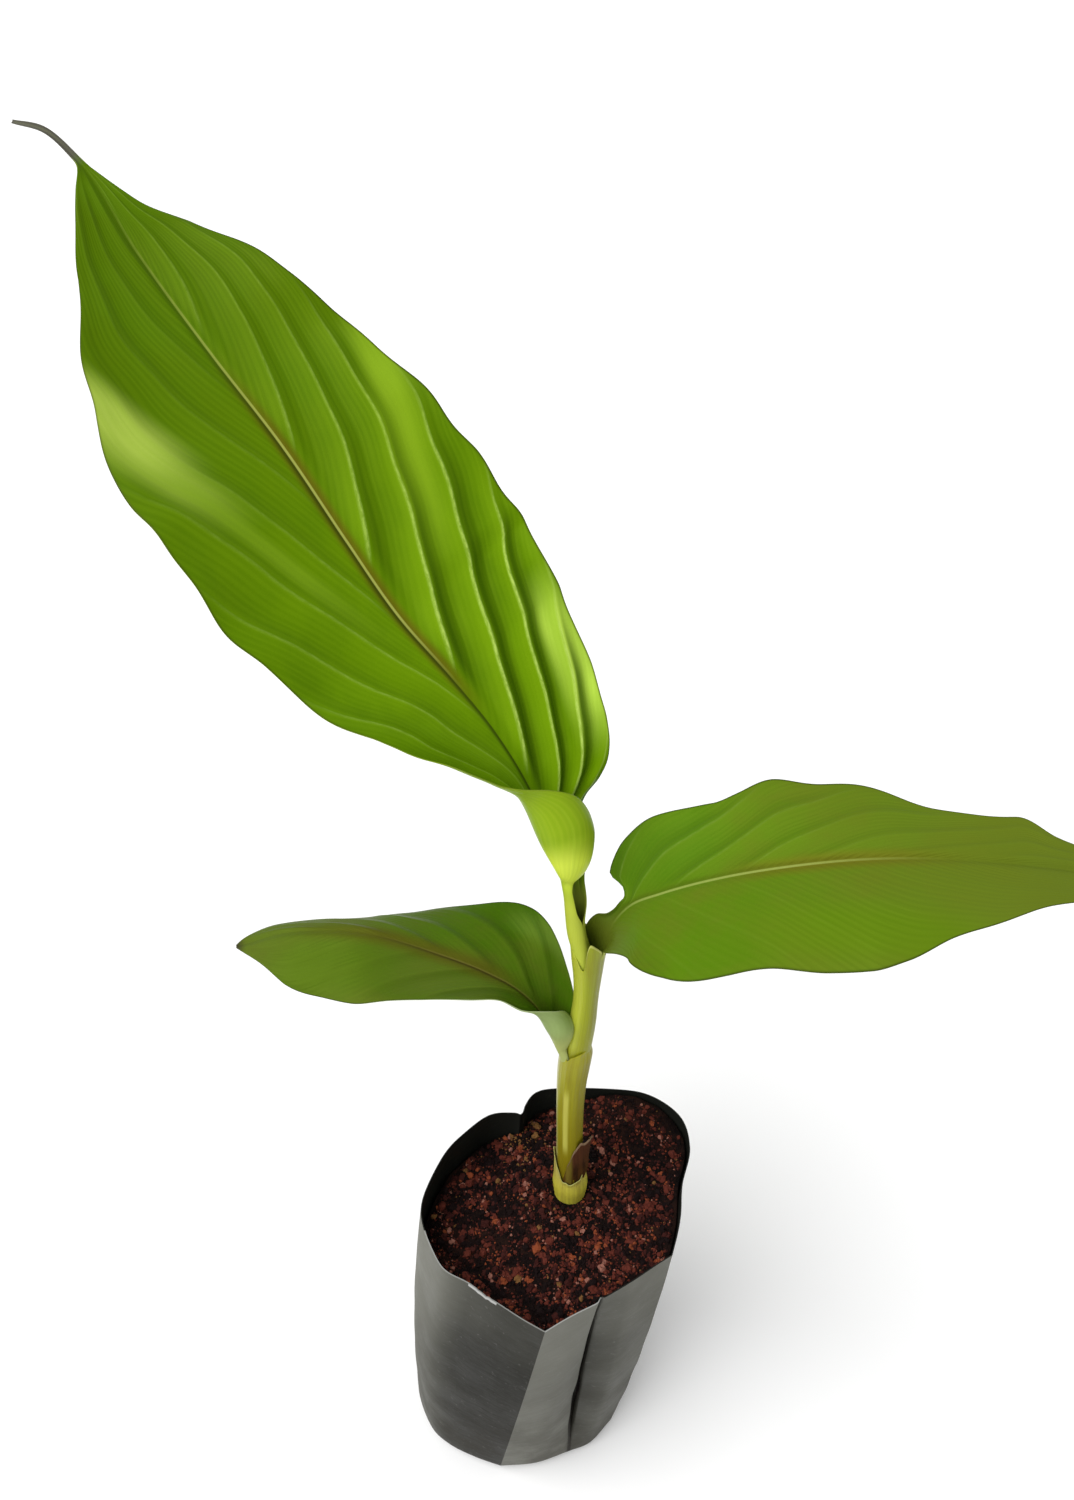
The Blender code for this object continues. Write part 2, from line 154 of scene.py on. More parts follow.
def sheetFaces(rows, columns):
    # faces of a closed sheet: the upper side, the lower side, then the edge all round
    cell = (np.arange(rows - 1)[:, None] * columns + np.arange(columns - 1)[None, :]).ravel()
    under = rows * columns
    upper = np.stack([cell, cell + 1, cell + columns + 1, cell + columns], axis=1)
    lower = upper[:, ::-1] + under
    edge = list(range(columns))
    edge += [i * columns + columns - 1 for i in range(1, rows)]
    edge += [(rows - 1) * columns + j for j in range(columns - 2, -1, -1)]
    edge += [i * columns for i in range(rows - 2, 0, -1)]
    edge = np.array(edge)
    after = np.roll(edge, -1)
    wall = np.stack([after, edge, edge + under, after + under], axis=1)
    sides = np.concatenate([np.zeros(len(upper)), np.ones(len(lower) + len(wall))]).astype(int)
    return np.concatenate([upper, lower, wall]).tolist(), sides


def tubeFaces(rows, sides, wrap=False, capped=False):
    # faces round a closed section; wrap joins the last ring to the first one, and caps close both ends
    lasts = rows if wrap else rows - 1
    i, j = np.meshgrid(np.arange(lasts), np.arange(sides), indexing="ij")
    a = (i * sides + j).ravel()
    b = (i * sides + (j + 1) % sides).ravel()
    c = ((i + 1) % rows * sides + (j + 1) % sides).ravel()
    d = ((i + 1) % rows * sides + j).ravel()
    caps = [list(range(sides))[::-1], list(range((rows - 1) * sides, rows * sides))]
    return np.stack([a, b, c, d], axis=1).tolist() + (caps if capped else [])


# Node helpers

socketKinds = dict(colour="NodeSocketColor", value="NodeSocketFloat", vector="NodeSocketVector")
mapScale = dict(offRib=200.0, along=300.0, pleats=60.0)  # what one unit of a map stands for


def plug(value, socket):
    # a number or a colour is set on the socket, and anything else is linked to it
    if isinstance(value, (int, float)):
        socket.default_value = value
    elif isinstance(value, tuple):
        socket.default_value = (*value, 1.0)
    else:
        socket.id_data.links.new(value, socket)


def nodeBeside(kind, *values):
    # a new node in the tree that the values come from
    tree = next(value.id_data for value in values if isinstance(value, bpy.types.NodeSocket))
    return tree.nodes.new(kind)


def placeNode(kind, **values):
    # a new node with its sockets filled by name
    node = nodeBeside(kind, *values.values())
    for label, value in values.items():
        plug(value, node.inputs[label])
    return node


def calc(operation, *values):
    node = nodeBeside("ShaderNodeMath", *values)
    node.operation = operation
    for value, socket in zip(values, node.inputs):
        plug(value, socket)
    return node.outputs[0]


def times(first, *others):
    for other in others:
        first = calc("MULTIPLY", first, other)
    return first


def plus(first, second):
    return calc("ADD", first, second)


def minus(first, second):
    return calc("SUBTRACT", first, second)


def sizeOf(value):
    return calc("ABSOLUTE", value)


def between(value, low, high, toLow=0.0, toHigh=1.0):
    node = nodeBeside("ShaderNodeMapRange", value)
    node.interpolation_type = "SMOOTHSTEP"
    labels = ("Value", "From Min", "From Max", "To Min", "To Max")
    for label, number in zip(labels, (value, low, high, toLow, toHigh)):
        plug(number, node.inputs[label])
    return node.outputs["Result"]


def falling(value, low, high):
    return between(value, low, high, 1.0, 0.0)


def blendColour(factor, first, second):
    node = nodeBeside("ShaderNodeMix", factor)
    node.data_type = "RGBA"
    node.clamp_factor = True
    for place, value in ((0, factor), (6, first), (7, second)):
        plug(value, node.inputs[place])
    return node.outputs[2]


def noise(vector, scale=1.0, detail=2.0, rough=0.5):
    node = placeNode("ShaderNodeTexNoise", Vector=vector, Scale=scale, Detail=detail, Roughness=rough)
    return node.outputs["Fac"]


def vectorOf(x, y, z=0.0):
    return placeNode("ShaderNodeCombineXYZ", X=x, Y=y, Z=z).outputs[0]


def splitVector(vector):
    return placeNode("ShaderNodeSeparateXYZ", Vector=vector).outputs


def mapOf(tree, name):
    node = tree.nodes.new("ShaderNodeUVMap")
    node.uv_map = name
    return node.outputs["UV"]


def objectPlace(tree):
    return tree.nodes.new("ShaderNodeTexCoord").outputs["Object"]


def newGroup(name, inputs, outputs={"colour": ["Color"]}):
    # sockets are named under their kind; take and give are the two ends inside the group
    group = bpy.data.node_groups.new(name, "ShaderNodeTree")
    for way, sockets in (("INPUT", inputs), ("OUTPUT", outputs)):
        for kind, labels in sockets.items():
            for label in labels:
                group.interface.new_socket(name=label, in_out=way, socket_type=socketKinds[kind])
    return group, group.nodes.new("NodeGroupInput").outputs, group.nodes.new("NodeGroupOutput").inputs


def socketLabel(key):
    # ribWidth becomes Rib Width
    return "".join(" " + letter if letter.isupper() else letter for letter in key).title()


def placeGroup(tree, group, look, passed=(), **links):
    # sockets take the look's values and the passed outputs of the same names, and then the links
    node = tree.nodes.new("ShaderNodeGroup")
    node.node_tree = group
    values = {socketLabel(key): value for key, value in look.items()}
    values.update({output.name: output for output in passed})
    values.update({socketLabel(key): value for key, value in links.items()})
    for label, value in values.items():
        if label in node.inputs:
            plug(value, node.inputs[label])
    return node.outputs


def newMaterial(name, look):
    material = bpy.data.materials.new(name)
    material.use_nodes = True
    surface = material.node_tree.nodes["Principled BSDF"].inputs
    plug(look["rough"], surface["Roughness"])
    plug(look["shine"], surface["Specular IOR Level"])
    plug(look.get("shineColour", (1.0, 1.0, 1.0)), surface["Specular Tint"])
    return material, material.node_tree, surface


def dressSurface(surface, colour, height, look):
    # gives the shader its colour and a bump from the height
    plug(colour, surface["Base Color"])
    bump = placeNode("ShaderNodeBump", Strength=look["bump"], Distance=look["bumpDepth"], Height=height)
    plug(bump.outputs["Normal"], surface["Normal"])


# Shared effects

def bladeVeinsGroup():
    # veins, pleats, midrib and margin of a leaf blade from its two maps
    masks = ("Rib", "Groove", "Fine", "Margin", "Mottle", "Crest", "Valley", "Flank")
    group, take, give = newGroup(
        "bladeVeins",
        dict(vector=["Blade", "Vein"],
             value=["Veins Per Pleat", "Rib Width", "Rib Start", "Rib End", "Margin Width"]),
        dict(value=["Along", "Off Rib"] + [mask + " Mask" for mask in masks]))
    blade = splitVector(take["Blade"])
    vein = splitVector(take["Vein"])
    offRib = times(minus(blade["X"], 0.5), mapScale["offRib"])
    along = times(blade["Y"], mapScale["along"])
    phase = times(minus(vein["X"], 0.5), mapScale["pleats"])
    across = vein["Y"]
    plug(along, give["Along"])
    plug(offRib, give["Off Rib"])

    # each pleat climbs to a thin crest and drops into a valley just past it; the crest mask paints a broken
    # highlight, the valley mask painted shade and the flank mask painted light
    turn = calc("FRACT", phase)
    crest = calc("MAXIMUM", falling(turn, 0.0, 0.07), between(turn, 0.96, 1.0))
    grain = noise(vectorOf(times(phase, 20.0), times(along, 0.4)), 1.0, 4.0, 0.7)
    crest = times(crest, between(grain, 0.3, 0.7, 0.35, 1.25))
    valley = times(between(turn, 0.4, 0.85), falling(turn, 0.9, 0.985))
    flank = falling(turn, 0.02, 0.5)
    inside = times(between(across, 0.02, 0.14), between(across, 0.82, 1.0, 1.0, 0.2))
    for label, mask in (("Crest Mask", crest), ("Valley Mask", valley), ("Flank Mask", flank)):
        plug(times(mask, inside), give[label])

    # fine veins run with the pleats
    flow = vectorOf(times(phase, 5.0), times(along, 0.02))
    drift = times(noise(flow, 1.0, 3.0), 1.3)
    fine = plus(times(phase, take["Veins Per Pleat"]), drift)
    wave = calc("COSINE", times(fine, 2 * math.pi))
    broken = noise(vectorOf(times(phase, 14.0), times(along, 0.05)), 1.0, 4.0, 0.6)
    plug(times(calc("MULTIPLY_ADD", wave, 0.5, 0.5), broken), give["Fine Mask"])

    # the midrib's pale line and the dark groove beside it, a painted shadow
    width = take["Rib Width"]
    ribEnds = falling(along, times(take["Rib End"], 0.6), take["Rib End"])
    ribBegins = between(along, take["Rib Start"], plus(take["Rib Start"], 35.0))
    rib = falling(sizeOf(offRib), times(width, 0.5), times(width, 1.3))
    plug(times(rib, ribEnds, ribBegins), give["Rib Mask"])
    groove = times(between(offRib, times(width, -5.0), times(width, -1.6)),
                   falling(offRib, times(width, -1.2), times(width, -0.3)))
    plug(times(groove, ribEnds), give["Groove Mask"])
    plug(between(across, minus(1.0, take["Margin Width"]), 1.0), give["Margin Mask"])
    spot = vectorOf(times(offRib, 0.05), times(along, 0.03))
    plug(noise(spot, 1.0, 5.0, 0.6), give["Mottle Mask"])
    return group


def leafBaseGroup():
    # the plain greens from base to tip, mottled, and the gloss that goes with them
    group, take, give = newGroup(
        "leafBase", dict(value=["Along", "Mottle Mask", "Tip From", "Tip To", "Shade Amount", "Rough"],
                         colour=["Base", "Tip", "Shade"]),
        dict(colour=["Color"], value=["Roughness"]))
    nearTip = between(take["Along"], take["Tip From"], take["Tip To"])
    shaded = between(take["Mottle Mask"], 0.35, 0.7, 0.0, take["Shade Amount"])
    colour = blendColour(nearTip, take["Base"], take["Tip"])
    plug(blendColour(shaded, colour, take["Shade"]), give["Color"])
    plug(plus(take["Rough"], between(take["Mottle Mask"], 0.3, 0.75, -0.05, 0.1)), give["Roughness"])
    return group


def leafPatchGroup():
    # a soft-edged slanting patch of colour on a blade; the top leaf's patches are painted light
    group, take, give = newGroup(
        "leafPatch",
        dict(colour=["Color", "Patch Colour"],
             value=["Along", "Off Rib", "Middle", "Beside", "Slant", "Length", "Width", "Amount"]))
    ahead = minus(take["Along"], take["Middle"])
    beside = minus(minus(take["Off Rib"], take["Beside"]), times(ahead, take["Slant"]))
    ends = [falling(sizeOf(past), times(reach, core), reach)
            for past, reach, core in ((ahead, take["Length"], 0.25), (beside, take["Width"], 0.2))]
    mask = times(*ends, take["Amount"])
    plug(blendColour(mask, take["Color"], take["Patch Colour"]), give["Color"])
    return group


def layerSockets(*steps):
    # what each layer of colour needs besides its colour
    return [step + end for end in (" Mask", " Amount") for step in steps]


def layOver(take, colour, steps, *shares):
    # lays each step's colour over the last, where its mask is, by its amount and any further shares
    for step in steps:
        amount = times(take[step + " Mask"], *shares, take[step + " Amount"])
        colour = blendColour(amount, colour, take[step])
    return colour


def leafPleatsGroup():
    # painted light on the pleats' flanks, painted shade in their valleys and painted highlights on their
    # crests, and the fine veins over them
    steps = ("Flank", "Valley", "Crest", "Fine")
    group, take, give = newGroup(
        "leafPleats", dict(colour=["Color", *steps], value=["Along", "Off Rib", "Pleats To", "Left Pleats",
                                                            "Right Pleats", *layerSockets(*steps)]))
    pleated = between(take["Along"], times(take["Pleats To"], 0.4), take["Pleats To"], 1.0, 0.15)
    halves = between(take["Off Rib"], -1.0, 1.0, take["Left Pleats"], take["Right Pleats"])
    colour = layOver(take, take["Color"], steps[:3], times(pleated, halves))
    plug(layOver(take, colour, steps[3:]), give["Color"])
    return group


def leafMarksGroup():
    # the brown tint along the midrib, the painted shadow of its groove and its pale line, the foot, the dark
    # margin and the dry tip
    steps = ("Groove", "Rib", "Margin")
    group, take, give = newGroup(
        "leafMarks",
        dict(colour=["Color", "Tint", "Foot", "Dry", *steps],
             value=["Along", "Off Rib", "Tint Width", "Tint From", "Tint To", "Tint Amount", "Foot From",
                    "Foot To", "Dry From", *layerSockets(*steps)]))
    along = take["Along"]
    nearRib = falling(sizeOf(take["Off Rib"]), 0.5, take["Tint Width"])
    starts = between(along, take["Tint From"], plus(take["Tint From"], 25.0))
    ends = falling(along, minus(take["Tint To"], 40.0), take["Tint To"])
    colour = blendColour(times(nearRib, starts, ends, take["Tint Amount"]), take["Color"], take["Tint"])
    colour = layOver(take, colour, ("Groove", "Rib"))
    colour = blendColour(falling(along, take["Foot From"], take["Foot To"]), colour, take["Foot"])
    colour = layOver(take, colour, ("Margin",))
    dried = between(along, take["Dry From"], plus(take["Dry From"], 5.0))
    plug(blendColour(dried, colour, take["Dry"]), give["Color"])
    return group


def stalkFibreGroup():
    # fibres that run up a stalk or sheath, from the map of its turn and height
    group, take, give = newGroup(
        "stalkFibre", dict(vector=["Wrap"], value=["Fibres", "Stretch"]),
        dict(value=["Fibre Mask", "Blotch Mask", "Height", "Turn", "Bump"]))
    wrap = splitVector(take["Wrap"])
    turn = times(wrap["X"], 2 * math.pi)
    roundX, roundY = calc("COSINE", turn), calc("SINE", turn)
    tall = times(wrap["Y"], take["Stretch"])
    density = times(take["Fibres"], 0.1)
    lines = noise(vectorOf(times(roundX, density), times(roundY, density), tall), 1.0, 4.0, 0.65)
    plug(lines, give["Bump"])
    plug(between(lines, 0.35, 0.68), give["Fibre Mask"])
    plug(noise(vectorOf(roundX, roundY, times(tall, 2.0)), 1.4, 3.0), give["Blotch Mask"])
    plug(times(wrap["X"], 360.0), give["Turn"])
    plug(times(wrap["Y"], mapScale["along"]), give["Height"])
    return group


def stalkColourGroup():
    # a stalk's colours from foot to top, with its fibres and blotches
    group, take, give = newGroup(
        "stalkColour", dict(colour=["Foot", "Top", "Fibre", "Blotch"],
                            value=["Height", "Low", "High", *layerSockets("Fibre", "Blotch")]))
    colour = blendColour(between(take["Height"], take["Low"], take["High"]), take["Foot"], take["Top"])
    colour = layOver(take, colour, ("Fibre",))
    blotch = between(take["Blotch Mask"], 0.5, 0.75, 0.0, take["Blotch Amount"])
    plug(blendColour(blotch, colour, take["Blotch"]), give["Color"])
    return group


def sideBandGroup():
    # a paler or darker band up one side of a stalk; on the stem and its left sheath these are painted light
    # on the lit left side and painted shade on the right
    group, take, give = newGroup(
        "sideBand", dict(colour=["Color", "Band Colour"],
                         value=["Turn", "Height", "Faces", "Wide", "Start", "End", "Amount"]))
    past = calc("WRAP", minus(take["Turn"], take["Faces"]), -180.0, 180.0)
    side = falling(sizeOf(past), times(take["Wide"], 0.3), take["Wide"])
    rises = between(take["Height"], take["Start"], plus(take["Start"], 8.0))
    falls = falling(take["Height"], minus(take["End"], 8.0), take["End"])
    mask = times(side, rises, falls, take["Amount"])
    plug(blendColour(mask, take["Color"], take["Band Colour"]), give["Color"])
    return group


def filmLightAndWearGroup():
    # polythene film: a dark and a pale film colour blended by tone, which holds painted light and shade on
    # the panels and some random cloud; a dirty foot, dust, and fine creases
    group, take, give = newGroup(
        "filmLightAndWear",
        dict(vector=["Place"], colour=["Film", "Faded", "Dirt", "Dust"],
             value=["Tone", "Share Up", "Soiling", "Pale Top", "Rough"]),
        dict(colour=["Color"], value=["Roughness", "Bump"]))
    place, shareUp = take["Place"], take["Share Up"]
    dust = noise(place, 38.0, 5.0, 0.65)
    cloud = noise(place, 14.0, 3.0)
    speck = noise(place, 420.0, 3.0, 0.7)
    tone = plus(take["Tone"], between(cloud, 0.3, 0.7, -0.08, 0.08))
    tone = plus(tone, between(shareUp, 0.55, 1.0, 0.0, take["Pale Top"]))
    colour = blendColour(between(tone, 0.1, 1.0), take["Film"], take["Faded"])
    low = between(shareUp, 0.0, 0.7, take["Soiling"], 0.0)
    colour = blendColour(times(low, between(dust, 0.35, 0.65)), colour, take["Dirt"])
    colour = blendColour(between(speck, 0.6, 0.78, 0.0, 0.25), colour, take["Dust"])
    plug(colour, give["Color"])
    plug(plus(take["Rough"], between(dust, 0.3, 0.7, -0.06, 0.12)), give["Roughness"])
    stretched = placeNode("ShaderNodeMapping", Vector=place)
    stretched.inputs["Scale"].default_value = (60.0, 60.0, 300.0)
    creases = noise(stretched.outputs[0], 1.0, 2.0)
    plug(plus(times(creases, 0.7), times(speck, 0.3)), give["Bump"])
    return group


def crumbGrainGroup():
    # the rough grain of a crumb of soil or bark
    group, take, give = newGroup("crumbGrain", dict(vector=["Place"]), dict(value=["Bump"]))
    plug(noise(take["Place"], 1500.0, 3.0, 0.7), give["Bump"])
    return group


bladeVeins = bladeVeinsGroup()
leafBase = leafBaseGroup()
leafPatch = leafPatchGroup()
leafPleats = leafPleatsGroup()
leafMarks = leafMarksGroup()
stalkFibre = stalkFibreGroup()
stalkColour = stalkColourGroup()
sideBand = sideBandGroup()
filmLightAndWear = filmLightAndWearGroup()
crumbGrain = crumbGrainGroup()


# The leaves: a leaf has its midrib, the way its upper side looks, and rows for each half that give the
# distance along the rib, then width, slope, bend and sweep. Rows start below the solid's foot, at minus
# "under", where the stalk grows out of the stem.

bladeForm = dict(
    parts=24,  # straight pieces that a half's bend is made of
    scallops=(60, 28), smaller=0.8, scallopsFrom=(6, 16),
    climbCurve=1.7, dropCurve=1.5, middle=0.4, pleatsFade=(0.75, 1.0), fadedBy=0.85,
    waveAlong=170, waveAcross=150, opens=25, closes=12,
    crowding=0.85,  # under 1, columns stand closer together towards the margin
    thinEdge=0.45, thinTip=0.6)


def stationsOf(leaf):
    steps = np.linalg.norm(np.diff(np.asarray(leaf["rib"], float), axis=0), axis=1)
    return np.concatenate([[0.0], np.cumsum(steps)]) - leaf["under"]


def leafHalf(leaf, at, spread, side):
    # one half of the blade as a grid of points, and how far each point is from the rib
    marks = stationsOf(leaf)
    rib = smooth(leaf["rib"], marks, at)
    ahead = unit(smooth(leaf["rib"], marks, at + 0.3) - smooth(leaf["rib"], marks, at - 0.3))
    face = np.array([row[1:] for row in leaf["face"]], float)
    looks = smooth(unit(face), [row[0] for row in leaf["face"]], at)
    across = unit(np.cross(ahead, looks))
    upward = np.cross(across, ahead)
    rows = np.array([tuple(row) + (0,) * (5 - len(row)) for row in leaf["right" if side > 0 else "left"]])
    width, slope, bend, sweep = smooth(rows[:, 1:], rows[:, 0], at, steady=True).T
    long, short = bladeForm["scallops"]
    scallops = ripple(leaf["seed"] + side, at / long)
    scallops = scallops + bladeForm["smaller"] * ripple(leaf["seed"] + side + 3, at / short)
    width = width + leaf["ragged"] * fade(width, *bladeForm["scallopsFrom"]) * scallops
    parts = (np.arange(bladeForm["parts"]) + 0.5) / bladeForm["parts"]
    angle = np.radians(slope[:, None, None] + bend[:, None, None] * parts * spread[None, :, None])
    reach = width[:, None] * spread[None, :]
    out = np.cos(angle).mean(axis=2) * reach
    up = np.sin(angle).mean(axis=2) * reach
    grid = (rib[:, None] + across[:, None] * (side * out)[..., None] + upward[:, None] * up[..., None]
            + ahead[:, None] * (sweep[:, None] * spread[None, :] ** 2)[..., None])
    return grid, reach * side


def pleatPhase(leaf, s, u, off):
    # whole numbers are crests; the number grows away from the steep side of each pleat
    look = leaf["relief"]
    right = off > 0
    reach, curve, start = [np.where(right, look[key + "Right"], look[key + "Left"])
                           for key in ("reach", "curve", "start")]
    order = (s - reach * u ** curve) / (1 + look["fan"] * u)
    phase = (order - start) / look["spacing"] + look["waver"] * ripple(leaf["seed"] + 5, order / 90, s / 160)
    return phase * np.where(right, 1, look["leftTurn"])


def leafLift(leaf, s, u, off, phase):
    # how far the blade stands up from its plain surface: pleats, soft waves and the groove at the rib
    look = leaf["relief"]
    turn = phase - np.floor(phase)
    climb = np.clip(turn / (1 - look["steep"]), 0, 1)
    drop = np.clip((turn - 1 + look["steep"]) / look["steep"], 0, 1)
    tooth = (1 - climb) ** bladeForm["climbCurve"] + drop ** bladeForm["dropCurve"]
    deep = np.where(off > 0, straight(look["deepRight"], s), straight(look["deepLeft"], s))
    deep = deep * fade(u, 0.0, 0.16) * (1 - bladeForm["fadedBy"] * fade(u, *bladeForm["pleatsFade"]))
    wave = ripple(leaf["seed"] + 9, s / bladeForm["waveAlong"], off / bladeForm["waveAcross"])
    wave = look["wave"] * fade(u, 0.35, 1.0) * wave
    groove = -look["groove"] * np.exp(-(off / look["grooveWidth"]) ** 2)
    opens = fade(s, look["bladeFrom"], look["bladeFrom"] + bladeForm["opens"])
    closes = 1 - fade(s, look["bladeTo"] - bladeForm["closes"], look["bladeTo"])
    return (deep * (tooth - bladeForm["middle"]) + wave) * opens * closes + groove * opens


def makeLeaf(name, leaf, upperLook, underLook, node):
    # s runs along the rib, u from the rib to the margin, and off is the distance from the rib
    marks = stationsOf(leaf)
    at = np.linspace(marks[0], marks[-1], leaf["rowCount"])
    spread = np.linspace(0, 1, leaf["halfCount"]) ** bladeForm["crowding"]
    leftGrid, leftOff = leafHalf(leaf, at, spread, -1)
    rightGrid, rightOff = leafHalf(leaf, at, spread, 1)
    grid = np.concatenate([leftGrid[:, ::-1], rightGrid[:, 1:]], axis=1)
    off = np.concatenate([leftOff[:, ::-1], rightOff[:, 1:]], axis=1)
    u = np.broadcast_to(np.concatenate([spread[::-1], spread[1:]]), off.shape)
    s = np.broadcast_to(at[:, None], off.shape)
    phase = pleatPhase(leaf, s, u, off)
    grid = grid + gridNormals(grid) * leafLift(leaf, s, u, off, phase)[..., None]
    normals = gridNormals(grid)
    nearTip = fade(s, leaf["relief"]["bladeTo"], leaf["relief"]["bladeTo"] + bladeForm["closes"])
    half = leaf["thick"] / 2 * (1 - bladeForm["thinEdge"] * fade(u, 0.9, 1.0))
    half = half * (1 - bladeForm["thinTip"] * nearTip)
    keel = straight(leaf["keel"], s) * np.exp(-(off / leaf["keelWidth"]) ** 2)
    upper = grid + normals * half[..., None]
    lower = grid - normals * (half + keel)[..., None]
    rows, columns, _ = grid.shape
    faces, sides = sheetFaces(rows, columns)
    points = np.concatenate([upper.reshape(-1, 3), lower.reshape(-1, 3)])

    # corners on the rib take the pleat number of their own half
    corner = np.array(faces)
    column = corner % columns
    onRib = column == len(spread) - 1
    rightFace = (column.max(axis=1) > len(spread) - 1)[:, None]
    ribRight = pleatPhase(leaf, at, 0.0, 1.0)
    ribLeft = pleatPhase(leaf, at, 0.0, -1.0)
    row = corner % (rows * columns) // columns
    ribPhase = np.where(rightFace, ribRight[row], ribLeft[row])
    cornerPhase = np.where(onRib, ribPhase, np.tile(phase.ravel(), 2)[corner])
    across = np.tile(u.ravel(), 2)[corner]
    vein = np.stack([0.5 + cornerPhase / mapScale["pleats"], across], axis=-1).reshape(-1, 2)
    blade = np.stack([0.5 + off / mapScale["offRib"], s / mapScale["along"]], axis=-1).reshape(-1, 2)
    maps = {"bladeMap": np.tile(blade, (2, 1)), "veinMap": vein}
    materials = [leafMaterial(name + "Upper", upperLook), leafMaterial(name + "Under", underLook)]
    makePiece(name + "Blade", points, faces, materials, (node,), sides, maps)
    print(name, "made with", len(faces), "faces")


def patchRows(*rows):
    # how far along, how far beside the rib, slant, length, width, colour and amount of each patch
    keys = ("middle", "beside", "slant", "length", "width", "patchColour", "amount")
    return [dict(zip(keys, row)) for row in rows]


def leafMaterial(name, look):
    # one side of a blade
    material, tree, surface = newMaterial(name, look)
    veins = placeGroup(tree, bladeVeins, look, blade=mapOf(tree, "bladeMap"), vein=mapOf(tree, "veinMap"))
    base = placeGroup(tree, leafBase, look, veins)
    colour = base["Color"]
    for patch in look["patches"]:
        colour = placeGroup(tree, leafPatch, patch, veins, color=colour)["Color"]
    for group in (leafPleats, leafMarks):
        colour = placeGroup(tree, group, look, veins, color=colour)["Color"]
    plug(base["Roughness"], surface["Roughness"])
    dressSurface(surface, colour, veins["Fine Mask"], look)
    return material


topLeaf = dict(
    seed=11, thick=0.5, rowCount=330, halfCount=58, under=16.2, ragged=0.45,
    keel=[(-17, 0), (20, 0.2), (60, 1.5), (120, 1.2), (220, 0.4), (271, 0), (300, 0)], keelWidth=1.6,
    rib=[(12, 8.6, 262), (10.6, 8.3, 270), (9.5, 8, 277.9), (8, 7.8, 284), (5.6, 8, 303), (3.4, 9, 313),
         (-0.5, 12, 323), (-5.5, 16, 334), (-16, 24, 348), (-28.5, 32, 360), (-44, 42, 373), (-59, 53, 390),
         (-77.4, 67, 411.5), (-97, 80, 431.5), (-118, 95, 454), (-134, 106, 475), (-142, 109, 481),
         (-152, 112, 482.6)],
    face=[(-17, .75, -.65, .15), (0, .75, -.65, .15), (33, .75, -.65, .2), (54, .66, -.7, .3),
          (66, .6, -.7, .35), (94, .4, -.72, .5), (144, .3, -.76, .57), (271, .25, -.76, .55)],
    left=[(-17, 9, 0, 180), (8, 9, 0, 180), (13, 8.6, 0, 175), (20, 6.9, 0, 137), (26, 5.8, 0, 135),
          (29, 6, 0, 158), (31, 10, 0, 196), (33, 15.5, 0, 221), (36, 21.5, 0, 229), (40, 27, 0, 229),
          (44, 30.5, 0, 230), (48, 31, 0, 229), (52, 29.5, 0, 220), (56, 26.5, 0, 199), (60, 22.5, 0, 158),
          (64, 20.5, 0, 106), (68, 22.5, 0, 85), (73, 27.5, 0, 82), (79, 32, 0, 81), (86, 34, 0, 70),
          (93, 32.5, 0, 50), (100, 34, 2, 34), (109, 36.5, 3, 23), (118, 37.5, 4, 15), (128, 39.5, 5, 15),
          (139, 43, 6, 11), (154, 45, 6, 17), (170, 45, 6, 18), (184, 44.5, 6, 12), (199, 41.5, 6, 5),
          (214, 34.5, 6, 7), (229, 26.5, 6, 10), (244, 17.8, 4, 9), (254, 11.7, 4, 7), (264, 5.5, 2, 4),
          (271, 0.6, 0, 40), (283, 0.3, 0, 60), (295, 0.12, 0, 20)],
    right=[(-17, 8.6, 0, 192), (8, 8.5, 0, 190), (13, 8.2, 0, 178), (20, 7, 0, 122), (26, 6.4, 0, 95),
           (31, 7.2, 1, 85), (36, 8.3, 3, 60), (41, 10, 4, 30), (46, 12.5, 5, 5), (50, 15.5, 5, 14),
           (54, 19.8, 6, 35), (58, 24, 6, 46), (62, 27, 6, 48), (66, 29, 5, 44), (71, 30.5, 5, 36),
           (77, 32.5, 5, 30), (85, 35, 5, 29), (92, 37.5, 5, 30), (100, 40.8, 5, 29), (109, 43.2, 5, 25),
           (118, 44.2, 7, 19), (128, 44.7, 10, 16), (139, 44.3, 10, 15), (154, 43, 10, 15),
           (169, 41.3, 10, 12), (184, 38, 10, -2), (199, 34, 10, -12), (214, 30.8, 10, -9),
           (229, 25.6, 8, -11), (244, 15.4, 6, -22), (254, 7.2, 4, -25), (264, 2.4, 2, -20),
           (271, 0.6, 0, 40), (283, 0.3, 0, 60), (295, 0.12, 0, 20)],
    relief=dict(spacing=37, steep=0.32, leftTurn=-1, startRight=24, startLeft=40, waver=0.05,
                reachRight=118, curveRight=1.2, reachLeft=115, curveLeft=0.85, fan=0,
                deepRight=[(45, 2.4), (70, 3.4), (115, 3.1), (180, 1.5), (225, 0.6), (260, 0.3)],
                deepLeft=[(50, 0.1), (85, 0.25), (130, 0.7), (200, 1.0), (260, 0.3)],
                wave=0.9, groove=0.7, grooveWidth=1.1, bladeFrom=40, bladeTo=268))

